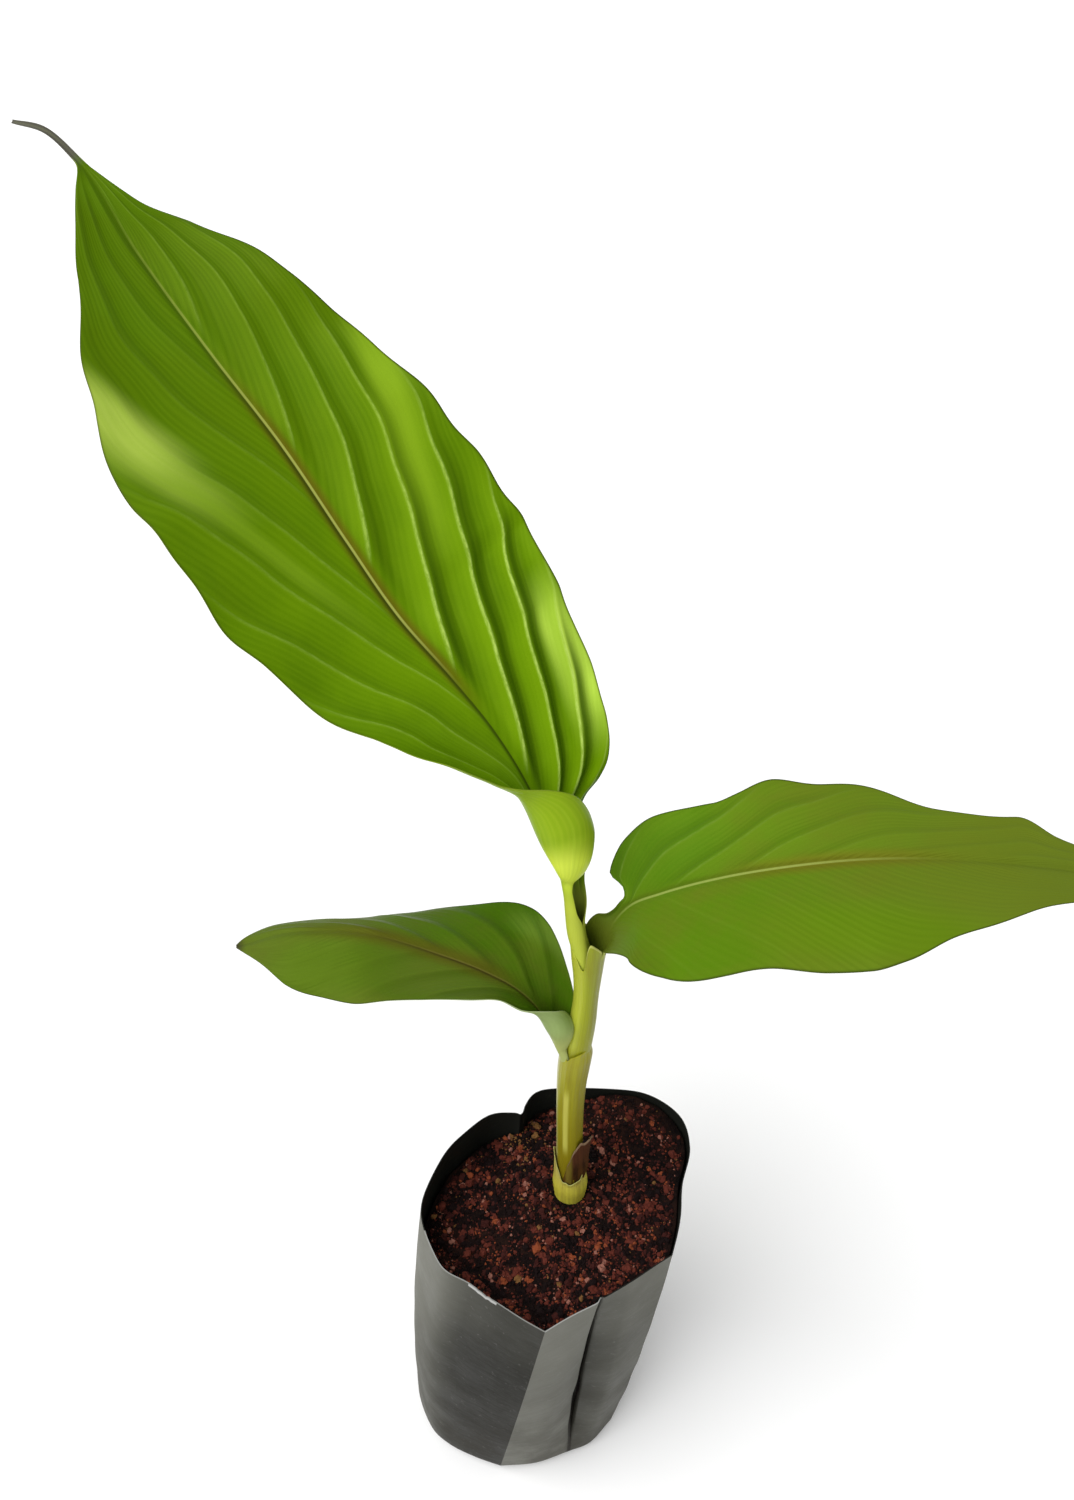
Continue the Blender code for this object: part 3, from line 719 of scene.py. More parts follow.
# colours are written for the upper side first; the underside changes what differs
brightGreen = dict(
    rough=0.38, shine=0.14, shineColour=(0.8, 1.0, 0.12), veinsPerPleat=7.0, ribWidth=0.4, ribStart=90.0,
    ribEnd=275.0, marginWidth=0.02, tipFrom=90.0, tipTo=250.0,
    base=(0.1, 0.205, 0.0008), tip=(0.056, 0.115, 0.0006), shade=(0.06, 0.14, 0.0006), shadeAmount=0.6,
    # the pleats' valley, crest and flank colours are painted shade, highlight and light
    valley=(0.035, 0.085, 0.0004), valleyAmount=0.85, crest=(0.46, 0.62, 0.13), crestAmount=0.75,
    pleatsTo=215.0, flank=(0.2, 0.36, 0.005), flankAmount=0.5, leftPleats=0.25, rightPleats=1.0,
    fine=(0.18, 0.31, 0.006), fineAmount=0.22, bump=0.12, bumpDepth=0.0004,
    tint=(0.1, 0.055, 0.004), tintWidth=3.2, tintFrom=80.0, tintTo=215.0, tintAmount=0.7,
    # the groove colour is a painted shadow beside the midrib
    groove=(0.02, 0.035, 0.002), grooveAmount=0.8, rib=(0.36, 0.4, 0.09), ribAmount=0.75,
    margin=(0.02, 0.028, 0.003), marginAmount=0.75, dryFrom=268.0, dry=(0.09, 0.085, 0.07),
    foot=(0.16, 0.2, 0.02), footFrom=20.0, footTo=30.0,
    # the patches are painted light: pale bands and a bright glossy spot where light falls on the blade
    patches=patchRows(
        (190, -33, -0.36, 32, 9, (0.3, 0.42, 0.05), 0.5),
        (158, -22, -0.36, 48, 4, (0.17, 0.29, 0.012), 0.5),
        (208, -34, -0.3, 30, 9.5, (0.36, 0.48, 0.07), 0.75),
        (82, 30, 0.25, 25, 9, (0.44, 0.64, 0.07), 0.9),
        (165, 31, 0.3, 50, 8, (0.24, 0.39, 0.014), 0.55),
        (80, 16, 0.3, 30, 9, (0.13, 0.26, 0.002), 0.6)))

brightUnder = dict(
    brightGreen, rough=0.42, base=(0.21, 0.33, 0.01), tip=(0.22, 0.32, 0.025), shade=(0.14, 0.23, 0.006),
    shadeAmount=0.35, valleyAmount=0.15, crestAmount=0.1, fine=(0.36, 0.46, 0.03), fineAmount=0.3,
    rib=(0.42, 0.5, 0.14), grooveAmount=0.0, ribAmount=0.5, tintAmount=0.1, foot=(0.4, 0.46, 0.045),
    margin=(0.12, 0.15, 0.02), marginAmount=0.5,
    # painted light where the funnel is brightest
    patches=patchRows((34, -13, 0.0, 14, 16, (0.66, 0.78, 0.07), 0.9)))

makeLeaf("topLeaf", topLeaf, brightGreen, brightUnder, "top_leaf")

rightLeaf = dict(
    seed=23, thick=0.5, rowCount=230, halfCount=52, under=11.2, ragged=0.4,
    keel=[(-12, 0), (10, 0.5), (30, 1.2), (80, 0.9), (140, 0.3), (168, 0)], keelWidth=1.4,
    rib=[(17.2, 7.2, 266), (17.8, 6.8, 274), (18.9, 6, 283), (20.5, 5, 291.5), (25, 4.8, 299.5),
         (33, 3, 306.5), (50, -1, 318), (66.5, -4, 325.7), (83, -6, 330.8), (114, -10, 335.8),
    (145, -14, 336), (158, -15, 334.6)], face=[(-12, -.9, -.1, .1), (0, -.8, -.4, .2), (12, -.7, -.45, .5),
          (30, -.4, -.42, .8), (50, -.25, -.4, .9), (85, -.12, -.36, .93), (125, 0, -.34, .94),
    (168, .1, -.34, .94)], left=[(-12, 6, 0, 75), (0, 8.5, 0, 55), (5, 8.2, 3, 57), (8, 7.8, 5, 57),
          (11, 7.2, 8, 54), (14, 6, 10, 55), (17, 3.8, 10, 85), (20, 3, 9, 86), (23, 3, 8, 40),
          (25.5, 6.2, 7, 11, -2), (28, 12.2, 6, 11, -8), (31, 17.7, 6, 10, -7), (35, 21.4, 5, 9, -5),
          (40, 23, 5, 8, -3), (46, 22.5, 5, 2), (54, 22.3, 6, 0), (61, 24, 6, 0), (72, 27.5, 6, -4),
          (85, 24.5, 6, -6), (100, 20.5, 6, -8), (113, 15, 5, -6), (125, 14, 5, -3), (133, 14, 5, -3),
          (143, 9, 4, 0), (152, 6.5, 2, 0), (161, 3.5, 2, 0), (168, 0.6, 0, 0)],
    right=[(-12, 3, 0, 80), (0, 3, 0, 80), (4, 3.2, 0, 78), (8, 6.5, 5, 70), (12, 10, 8, 62),
           (16, 14, 10, 51), (20, 18, 9, 44), (25, 22, 6, 40), (30, 25, 5, 28), (36, 27.5, 5, 12),
           (43, 29, 5, 4), (55, 30, 5, 5), (67, 29.5, 8, 0), (81, 32.5, 8, -5), (93, 33, 8, -8),
           (103, 30, 7, -8), (115, 22.5, 6, -8), (127, 18, 5, -5), (139, 12.5, 4, 0), (152, 8, 2, 0),
           (161, 4, 2, 0), (168, 0.6, 0, 0)],
    relief=dict(spacing=22, steep=0.3, leftTurn=1, startRight=10, startLeft=15, waver=0.06,
                reachRight=35, curveRight=1.0, reachLeft=50, curveLeft=1.1, fan=0.25,
                deepRight=[(20, 0.15), (60, 0.12), (150, 0.05)],
                deepLeft=[(20, 0.9), (60, 0.65), (150, 0.15)], wave=1.0, groove=0.6, grooveWidth=1.0,
                bladeFrom=18, bladeTo=166))

oliveGreen = dict(
    brightGreen, rough=0.42, ribStart=0.0, ribEnd=118.0, tipFrom=40.0, tipTo=150.0,
    base=(0.072, 0.16, 0.003), tip=(0.097, 0.135, 0.01), shade=(0.097, 0.13, 0.008), shadeAmount=0.8,
    valley=(0.045, 0.1, 0.002), valleyAmount=0.3, crest=(0.17, 0.26, 0.04), crestAmount=0.35,
    pleatsTo=110.0, flank=(0.11, 0.2, 0.007), flankAmount=0.25, leftPleats=1.0, rightPleats=0.15,
    fine=(0.13, 0.2, 0.012), fineAmount=0.14, bump=0.25, tint=(0.13, 0.1, 0.007), tintWidth=4.0,
    tintFrom=50.0, tintTo=130.0, tintAmount=0.6, groove=(0.05, 0.06, 0.004), grooveAmount=0.35,
    rib=(0.3, 0.36, 0.09), ribAmount=0.65, margin=(0.02, 0.03, 0.004), marginWidth=0.028, dryFrom=400.0,
    foot=(0.1, 0.13, 0.01), footFrom=8.0, footTo=26.0,
    patches=patchRows(
        (38, -12, 0.0, 26, 16, (0.062, 0.16, 0.004), 0.8),
        (95, 22, 0.1, 45, 12, (0.08, 0.165, 0.002), 0.7)))

oliveUnder = dict(
    oliveGreen, rough=0.5, base=(0.17, 0.25, 0.04), tip=(0.17, 0.23, 0.04), shade=(0.13, 0.2, 0.025),
    fine=(0.23, 0.31, 0.07), rib=(0.36, 0.42, 0.14), tintAmount=0.1, foot=(0.3, 0.34, 0.05), patches=[])

makeLeaf("rightLeaf", rightLeaf, oliveGreen, oliveUnder, "right_leaf")

leftLeaf = dict(
    seed=37, thick=0.5, rowCount=200, halfCount=46, under=12.8, ragged=0.75,
    keel=[(-13, 0), (10, 0.4), (35, 1.0), (90, 0.4), (130, 0)], keelWidth=1.3,
    rib=[(8.8, 7, 214), (7.8, 5.8, 221), (7.4, 5, 226.7), (5.9, 5, 231.5), (3, 5.8, 239.5), (-2, 7, 250.6),
         (-9.4, 8, 258.5), (-17.5, 9, 263.3), (-33.5, 11, 269.3), (-55, 13, 275), (-68, 14, 274.8),
         (-82, 14, 272.8), (-98, 14, 266)],
    face=[(-13, .95, .2, .1), (0, .9, .4, .3), (8, .85, 0, .35), (16, .78, -.4, .4), (28, .55, -.5, .65),
          (48, .3, -.45, .84), (73, .1, -.42, .9), (138, -.1, -.4, .9)],
    left=[(-13, 3, 0, 60), (0, 3, 0, 85), (4, 3.3, 4, 130), (7, 6.6, 8, 163), (10, 10.9, 10, 194),
          (13, 14.5, 12, 215), (16, 16.6, 13, 224), (19, 16.1, 12, 223), (22, 13.7, 11, 196),
          (25, 11.6, 9, 154), (29, 10.4, 8, 111), (34, 10.2, 6, 76), (41, 10.9, 5, 70), (50, 14.3, 5, 45),
          (62, 18, 6, 26), (74, 21.3, 6, 12), (86, 23.4, 6, -10), (98, 21.7, 6, -28), (110, 17, 6, -30),
          (121, 8.5, 5, -20), (130.5, 0.5, 0, 0)],
    right=[(-13, 4, 0, 60), (0, 4.5, 0, 75), (4, 6, 0, 90), (8, 7.5, 0, 105), (12, 8.6, 4, 109),
           (16, 10, 5, 105), (20, 11.5, 5, 95), (24, 13.6, 5, 81), (28, 16.6, 5, 64), (34, 21.3, 5, 40),
           (41, 24.5, 5, 2), (53, 23.3, 0, -23), (65, 20.6, -10, -37), (77, 16.7, -20, -41),
           (89, 12.3, -25, -54), (101, 9.1, -25, -57), (113, 6.6, -20, -57), (122, 4.5, -10, -50),
           (130.5, 0.5, 0, 0)],
    relief=dict(spacing=18, steep=0.3, leftTurn=1, startRight=8, startLeft=12, waver=0.06,
                reachRight=36, curveRight=1.0, reachLeft=30, curveLeft=1.0, fan=0.25,
                deepRight=[(15, 0.9), (60, 0.7), (120, 0.1)], deepLeft=[(15, 0.3), (60, 0.4), (120, 0.1)],
                wave=0.9, groove=0.6, grooveWidth=1.0, bladeFrom=14, bladeTo=128))

darkGreen = dict(
    brightGreen, rough=0.4, shine=0.16, veinsPerPleat=6.0, ribWidth=0.3, ribStart=0.0, ribEnd=92.0,
    tipFrom=30.0, tipTo=110.0,
    base=(0.04, 0.112, 0.0012), tip=(0.08, 0.13, 0.01), shade=(0.08, 0.1, 0.01), shadeAmount=0.75,
    valley=(0.022, 0.052, 0.0008), valleyAmount=0.45, crest=(0.12, 0.18, 0.022), crestAmount=0.2,
    pleatsTo=90.0, flank=(0.07, 0.13, 0.004), flankAmount=0.3, leftPleats=1.0, rightPleats=0.6,
    fine=(0.09, 0.15, 0.01), fineAmount=0.1, bump=0.2, tint=(0.08, 0.058, 0.006), tintWidth=5.0,
    tintFrom=25.0, tintTo=120.0, tintAmount=0.65, groove=(0.03, 0.018, 0.004), grooveAmount=0.7,
    rib=(0.15, 0.13, 0.03), ribAmount=0.45, margin=(0.015, 0.022, 0.004), dryFrom=126.0,
    dry=(0.03, 0.024, 0.014), foot=(0.05, 0.09, 0.004), footFrom=6.0, footTo=20.0,
    patches=patchRows(
        (58, -9, 0.0, 32, 12, (0.088, 0.125, 0.013), 0.65),
        (98, -12, 0.0, 30, 14, (0.055, 0.115, 0.003), 0.7),
        (36, 20, 0.0, 14, 6, (0.12, 0.2, 0.03), 0.4)))

darkUnder = dict(
    darkGreen, rough=0.5, base=(0.25, 0.33, 0.12), tip=(0.16, 0.22, 0.06), shade=(0.2, 0.28, 0.08),
    valleyAmount=0.1, crestAmount=0.1, fine=(0.32, 0.4, 0.16), rib=(0.4, 0.48, 0.2), tintAmount=0.1,
    grooveAmount=0.0, foot=(0.34, 0.38, 0.12), margin=(0.4, 0.46, 0.26), marginAmount=0.6, patches=[])

makeLeaf("leftLeaf", leftLeaf, darkGreen, darkUnder, "left_leaf")


# The stem and its sheaths

# the stem's line: where its middle stands on the soil, and how x changes with height
stemLine = dict(
    x=13.6, y=7.6,
    bends=[(139, 13.6), (147, 13.6), (160, 13.0), (180, 12.1), (200, 11.5), (212, 11.5), (223, 12.0),
           (232, 12.8), (240, 13.4), (253, 14.0), (265, 14.0), (277, 13.6), (292, 13.4)])


def bandRows(*rows):
    # the way it faces, its width in degrees, foot, top, colour and amount of each band up a stalk
    return [dict(zip(("faces", "wide", "start", "end", "bandColour", "amount"), row)) for row in rows]


def stalkMaterial(name, look):
    material, tree, surface = newMaterial(name, look)
    fibre = placeGroup(tree, stalkFibre, look, wrap=mapOf(tree, "wrapMap"))
    colour = placeGroup(tree, stalkColour, look, fibre)["Color"]
    for band in look["bands"]:
        colour = placeGroup(tree, sideBand, band, fibre, color=colour)["Color"]
    dressSurface(surface, colour, fibre["Bump"], look)
    return material


def roundStem(radius, turn, height):
    # points at a distance round the stem's line
    middle = curved(stemLine["bends"], height)
    return np.stack([middle + radius * np.cos(turn), stemLine["y"] + radius * np.sin(turn), height], axis=-1)


def fromStem(x, y):
    # how far a place on the soil is from the stem
    return np.hypot(x - stemLine["x"], y - stemLine["y"])


def roundRipple(seed, turn, turns, z=0.0, waves=8):
    # a ripple that closes on itself round a tube
    return ripple(seed, np.cos(turn) * turns + 0 * z, np.sin(turn) * turns + 0 * z, z, waves=waves)


def turnGap(turn, degrees):
    # signed angle from a direction, in degrees
    return np.degrees(np.angle(np.exp(1j * (turn - math.radians(degrees)))))


def makeSheath(name, sheath, materials, node):
    # a thin tube round the stem's line, with fibres, an uneven mouth and a seam down one side
    sides, rows = sheath["sides"], sheath["rows"]
    turn = (np.arange(sides) + 0.5) * 2 * math.pi / sides
    share = np.linspace(0, 1, rows)[:, None]
    mouth = curved(sheath["mouth"], turnGap(turn, 0), steady=True)
    mouth = mouth + sheath["torn"] * ripple(sheath["seed"], np.cos(turn) * 2.5, np.sin(turn) * 2.5)
    z = sheath["foot"] + (mouth - sheath["foot"])[None, :] * share
    radius = curved(sheath["profile"], z)
    fibres = roundRipple(sheath["seed"] + 1, turn, sheath["fibreTurns"], z / sheath["fibreTall"], waves=24)
    fibres = sheath["fibreDepth"] * fibres
    past = turnGap(turn, sheath["seamAt"]) + 0 * z
    seam = sheath["seamDepth"] * fade(past, 0, 5) * (1 - fade(past, 5, sheath["seamWide"]))
    top = fade(share, 1 - sheath["flareShare"], 1.0) ** 2
    swelling = sheath["swell"] * hump(z, sheath["swellAt"], sheath["swellTall"])
    outer = radius + fibres + seam + sheath["flare"] * top + swelling
    # away from the seam the mouth is pressed into the stem, so that no lip crosses it
    pressed = fade(np.abs(turnGap(turn, sheath["seamAt"])), 30, 100)
    pressed = pressed * fade(z, mouth - sheath["tuckTall"], mouth)
    outer = outer - sheath["tuck"] * pressed
    inner = outer - sheath["wall"] * (1 - 0.5 * fade(share, 0.97, 1.0))
    rings = np.concatenate([roundStem(outer, turn, z), roundStem(inner[::-1], turn, z[::-1])])
    faces = tubeFaces(2 * rows, sides, wrap=True)
    lip = (np.arange(2 * rows) == rows - 1) | (np.arange(2 * rows) == rows - 2)
    first, last = sheath["lip"]
    onLip = (turnGap(turn, 0) >= first) & (turnGap(turn, 0) <= last)
    edge = (np.repeat(lip, sides) & np.tile(onLip, 2 * rows)).astype(int)
    share = np.broadcast_to(turn / (2 * math.pi), (2 * rows, sides))
    wrap = np.stack([share, rings[..., 2] / mapScale["along"]], axis=-1)
    maps = {"wrapMap": wrap.reshape(-1, 2)}
    makePiece(name, rings.reshape(-1, 3), faces, materials, (node,), edge, maps)


youngStem = dict(
    seed=5, sides=120, rows=150, foot=139.5, torn=0.15, wall=0.4, tuck=0.0, tuckTall=6, fibreDepth=0.035,
    fibreTurns=4, fibreTall=160, lip=(-98, -20), seamAt=-107.0, seamDepth=0.16, seamWide=110,
    flare=0.15, flareShare=0.05,
    swell=0.0, swellAt=150, swellTall=4,
    mouth=[(-180, 282.5), (-150, 279.5), (-125, 275.5), (-107, 272.3), (-101, 274.5), (-95, 281.5),
           (-86, 285), (-68, 283.5), (-40, 279.5), (-8, 276), (30, 277.5), (80, 281), (130, 283.5),
           (180, 282.5)],
    profile=[(139, 4.3), (180, 4.2), (215, 4.3), (232, 4.45), (245, 4.3), (252, 4.05), (258, 4.1),
             (263.5, 4.4), (272.7, 5.15), (280, 5.6), (287, 5.8)])

leftWrap = dict(
    youngStem, seed=6, rows=110, wall=0.3, tuck=1.3, fibreDepth=0.04, lip=(-180, 180), seamAt=-125.0,
    seamDepth=0.2, flare=0.05,
    mouth=[(-180, 234), (-150, 232), (-136, 229), (-126, 227), (-118, 228.5), (-95, 231), (-40, 232.5),
           (0, 233), (60, 233), (120, 234), (180, 234)],
    profile=[(139, 5.2), (160, 5.0), (180, 4.75), (200, 4.9), (212, 5.2), (220, 5.5), (226, 5.5),
             (231, 5.1), (236, 4.9)])

footWrap = dict(
    leftWrap, seed=7, rows=60, foot=141.0, torn=0.5, tuck=0.0, fibreDepth=0.08, seamAt=-60.0, seamDepth=0.1,
    flare=0.35, flareShare=0.2, swell=0.25,
    mouth=[(-180, 171), (-155, 168), (-135, 162), (-112, 157), (-92, 156.5), (-65, 158), (-30, 160),
           (-5, 160.5), (40, 158), (90, 159), (140, 166), (180, 171)],
    profile=[(141, 5.6), (146, 6.0), (151, 6.15), (156, 5.85), (163, 5.6), (173, 5.4)])

stemGreen = dict(
    rough=0.33, shine=0.22, shineColour=(1.0, 1.0, 0.6), bump=0.5, bumpDepth=0.0005, fibres=70.0,
    stretch=5.0, low=200.0, high=262.0,
    foot=(0.24, 0.215, 0.012), top=(0.27, 0.31, 0.004), fibre=(0.15, 0.16, 0.003), fibreAmount=0.4,
    blotch=(0.2, 0.16, 0.008), blotchAmount=0.35,
    # bands: painted light up the lit left side and painted shade on the right
    bands=bandRows(
        (-145, 60, 228, 300, (0.45, 0.49, 0.05), 0.75),
        (-35, 45, 235, 282, (0.17, 0.17, 0.002), 0.6)))
wrapGreen = dict(
    stemGreen, low=150.0, high=222.0, foot=(0.18, 0.135, 0.004), top=(0.29, 0.28, 0.014),
    fibre=(0.17, 0.14, 0.006), blotch=(0.16, 0.115, 0.006),
    # bands: a painted highlight streak at the front, painted light over the sheath's pale margin on the left
    # side, and painted shade on the right
    bands=bandRows(
        (-110, 16, 172, 214, (0.52, 0.5, 0.1), 0.65),
        (-172, 22, 150, 232, (0.42, 0.41, 0.16), 0.7),
        (-30, 50, 150, 232, (0.16, 0.13, 0.004), 0.5)))
footPale = dict(
    stemGreen, rough=0.45, shine=0.3, foot=(0.55, 0.5, 0.05), top=(0.5, 0.43, 0.1), low=150.0, high=162.0,
    fibre=(0.3, 0.25, 0.04), fibreAmount=0.35, blotch=(0.2, 0.12, 0.03), blotchAmount=0.6, bump=0.7,
    bands=[])
lipPale = dict(
    stemGreen, rough=0.5, foot=(0.46, 0.46, 0.16), top=(0.46, 0.48, 0.12), fibreAmount=0.2,
    blotchAmount=0.3, bands=[])

lipMaterial = stalkMaterial("sheathLip", lipPale)
makeSheath("youngStem", youngStem, [stalkMaterial("stemGreen", stemGreen), lipMaterial],
           "pseudostem")
wrapMaterial = stalkMaterial("sheathGreen", wrapGreen)
makeSheath("leftLeafSheath", leftWrap, [wrapMaterial, wrapMaterial], "left_sheath")
makeSheath("footSheath", footWrap, [stalkMaterial("sheathPale", footPale), lipMaterial],
           "basal_sheath")
print("stem and sheaths made")

driedScale = dict(
    foot=148.0, top=181.0, fromTurn=(-138, -100), toTurn=(52, 28), radius=5.55, wall=0.3, curl=2.4,
    lift=1.0, liftTurn=(-80, -10), liftHeight=(153, 162), rounded=0.35, ragged=0.5,
    crinkle=0.25, crinkleTurns=2.2, crinkleTall=22, rows=80, columns=70, paleRows=3)


def makeScale(scale, materials):
    # a thin curled sheet round part of the stem's foot
    share = np.linspace(0, 1, scale["rows"])[:, None]
    place = np.linspace(0, 1, scale["columns"])[None, :]
    start = scale["fromTurn"][0] + (scale["fromTurn"][1] - scale["fromTurn"][0]) * share
    end = scale["toTurn"][0] + (scale["toTurn"][1] - scale["toTurn"][0]) * share ** 3
    degrees = start + (end - start) * place
    turn = np.radians(degrees)
    rounded = 1 - scale["rounded"] * (2 * place - 1.1) ** 2
    height = scale["foot"] + (scale["top"] - scale["foot"]) * share * rounded
    height = height + scale["ragged"] * ripple(41, place * 4 + 0 * share) * share
    lift = scale["lift"] * fade(degrees, *scale["liftTurn"]) * fade(height, *scale["liftHeight"])
    crinkles = ripple(42, turn * scale["crinkleTurns"], height / scale["crinkleTall"])
    radius = (scale["radius"] + lift + scale["curl"] * share ** 3 * fade(place, 0.2, 1)
              + scale["crinkle"] * crinkles * fade(share, 0, 0.3))
    sheets = [roundStem(layer, turn, height) for layer in (radius, radius - scale["wall"])]
    points = np.reshape(sheets, (-1, 3))
    faces, _ = sheetFaces(scale["rows"], scale["columns"])
    wrap = np.stack([turn / (2 * math.pi) % 1.0, height / mapScale["along"]], axis=-1).reshape(-1, 2)
    count = scale["columns"] - 1
    strip = (np.arange(count * (scale["rows"] - 1)) // count) >= scale["rows"] - 1 - scale["paleRows"]
    edge = np.concatenate([strip, strip, np.ones(len(faces) - 2 * len(strip), bool)]).astype(int)
    makePiece("driedScale", points, faces, materials, ("dried_scale",), edge,
              {"wrapMap": np.tile(wrap, (2, 1))})


scaleBrown = dict(
    stemGreen, rough=0.8, shine=0.06, fibres=90.0, foot=(0.08, 0.036, 0.005), top=(0.055, 0.018, 0.009),
    low=150.0, high=176.0, fibre=(0.09, 0.04, 0.012), fibreAmount=0.3, blotch=(0.01, 0.004, 0.003),
    blotchAmount=1.0, bump=0.9, bands=bandRows((-95, 20, 150, 180, (0.2, 0.16, 0.02), 0.6)))
scalePale = dict(scaleBrown, foot=(0.14, 0.08, 0.04), top=(0.2, 0.13, 0.08), blotchAmount=0.6, bands=[])
makeScale(driedScale, [stalkMaterial("scaleBrown", scaleBrown), stalkMaterial("scalePale", scalePale)])


# The grow bag

growBag = dict(
    height=150.0, wall=0.4, floor=1.0, footRadius=7.0, bulge=2.0, lean=9.0, foldDepth=3.0, steps=14,
    levels=96, pleatsFrom=(8, 40), pleatsFade=(132, 150), fadedBy=0.6, rimWave=0.8,
    crumple=0.35, crumpleTurns=2.2, crumpleTall=130,
    wrinkle=0.25, wrinkleTurns=0.8, wrinkleTall=14, wrinkleAt=55, wrinkleReach=40,
    # corners of the rim and, below them, of the foot
    outline=[(-4, -49, -10, -36), (6, -43, 5, -34.5), (16, -37.5, 19.5, -30), (27, -30, 28, -26),
             (41, -20.5, 36.5, -17), (45, -6, 39.5, -8), (47, 9, 40.5, 4), (51, 24, 39.5, 15),
             (48, 37, 36, 26), (35, 46, 27, 34), (17, 49, 13, 38), (-7, 48, -6, 37.5), (-15, 37, -14, 34),
             (-27, 35, -24, 35), (-37.5, 25, -35, 27), (-44.5, 14, -43, 17), (-50, -2, -47, 3),
             (-48, -14, -46.5, -9), (-41, -28, -40, -22), (-30, -34, -32, -28.5), (-17, -41.5, -21, -33)],
    kinds={0: "crease", 2: "fold", 4: "crease", 12: "fold"},
    # how pale each stretch of the film is, at its two ends: painted light and shade that make some panels
    # lighter and others darker
    tones=[(0.8, 0.76), (0.76, 0.72), (0.4, 0.5), (0.54, 0.58), (0.56, 0.55), (0.55, 0.6), (0.6, 0.6),
           (0.6, 0.6), (0.6, 0.55), (0.55, 0.5), (0.5, 0.5), (0.5, 0.6), (0.5, 0.5), (0.5, 0.5), (0.5, 0.6),
           (0.6, 0.7), (0.7, 0.8), (0.72, 0.54), (0.54, 0.26), (0.26, 0.17), (0.17, 0.17)],
    # each pleat's last value is the width of the painted shade along its fold
    pleats=[dict(row=2, deep=2.8, wide=0.9, step=2.0, back=7.0, dirt=1.0),
            dict(row=12, deep=2.0, wide=1.6, step=0.5, back=5.0, dirt=0.5)],
    paleRim=(0, 1, 17, 18, 19, 20), tornFrom=18.9, tornTo=19.7, tornAt=0.93, tornWide=0.022, tornDeep=0.7)
cornerKinds = [growBag["kinds"].get(i, "soft") for i in range(len(growBag["outline"]))]


def segmentPlaces(kinds, steps):
    # where the columns stand on each stretch: closer together beside a fold or crease
    places = []
    for i, kind in enumerate(kinds):
        x = np.arange(steps) / steps
        tightStart = kind != "soft"
        tightEnd = kinds[(i + 1) % len(kinds)] != "soft"
        if tightStart and tightEnd:
            x = 0.5 - 0.5 * np.cos(math.pi * x)
        elif tightStart:
            x = x ** 2.2
        elif tightEnd:
            x = 1 - (1 - x) ** 2.2
        places.append(x)
    return places


def closedOutline(corners, kinds, steps):
    # a curve through all corners that turns sharply at the folds and creases
    corners = np.asarray(corners, float)
    points = []
    for i, places in enumerate(segmentPlaces(kinds, steps)):
        here, there = corners[i], corners[(i + 1) % len(corners)]
        before, after = corners[i - 1], corners[(i + 2) % len(corners)]
        start = (there - before) / 2 if kinds[i] == "soft" else there - here
        end = (after - here) / 2 if kinds[(i + 1) % len(corners)] == "soft" else there - here
        points.append(bendBetween(places[:, None], here, there, start, end))
    return np.concatenate(points)


def bagRing(height, inset, pleated=0.0, bag=growBag):
    # the bag's outline at a height, moved inwards, with the pleats as deep as "pleated" says
    share = height / bag["height"]
    swell = bag["bulge"] * math.sin(math.pi * share)
    corners = []
    for (rimX, rimY, footX, footY), kind in zip(bag["outline"], cornerKinds):
        x = footX + (rimX + bag["lean"] - footX) * share
        y = footY + (rimY - footY) * share
        out = swell if kind != "fold" else -bag["foldDepth"] * math.sin(math.pi * share)
        ray = unit(np.array([x - bag["lean"] * share, y]))
        corners.append((x + ray[0] * out, y + ray[1] * out))
    ring = closedOutline(corners, cornerKinds, bag["steps"])
    tangent = unit(np.roll(ring, -1, axis=0) - np.roll(ring, 1, axis=0))
    inward = np.stack([-tangent[:, 1], tangent[:, 0]], axis=1)
    push = np.full(len(ring), float(inset))
    if pleated:
        lengths = np.linalg.norm(np.roll(ring, -1, axis=0) - ring, axis=1)
        for pleat in bag["pleats"]:
            first = pleat["row"] * bag["steps"]
            walked = np.cumsum(np.roll(lengths, -first)) - lengths[first]
            wayRound = walked[-1] + lengths[first]
            walked = np.roll(walked, first)
            walked = np.where(walked > wayRound / 2, walked - wayRound, walked)
            push = push + pleated * pleat["deep"] * np.exp(-(walked / pleat["wide"]) ** 2)
            push = push + pleated * np.where(walked > 0, pleat["step"] * np.exp(-walked / pleat["back"]), 0)
    return np.column_stack([ring + inward * push[:, None], np.full(len(ring), float(height))])


def footRings(inset, count, bag=growBag):
    # rings round the bag's rounded foot, from the underside up
    radius = bag["footRadius"]
    return [bagRing(radius * (1 - math.cos(angle)), inset + radius * (1 - math.sin(angle)))
            for angle in np.radians(np.linspace(0, 80, count))]


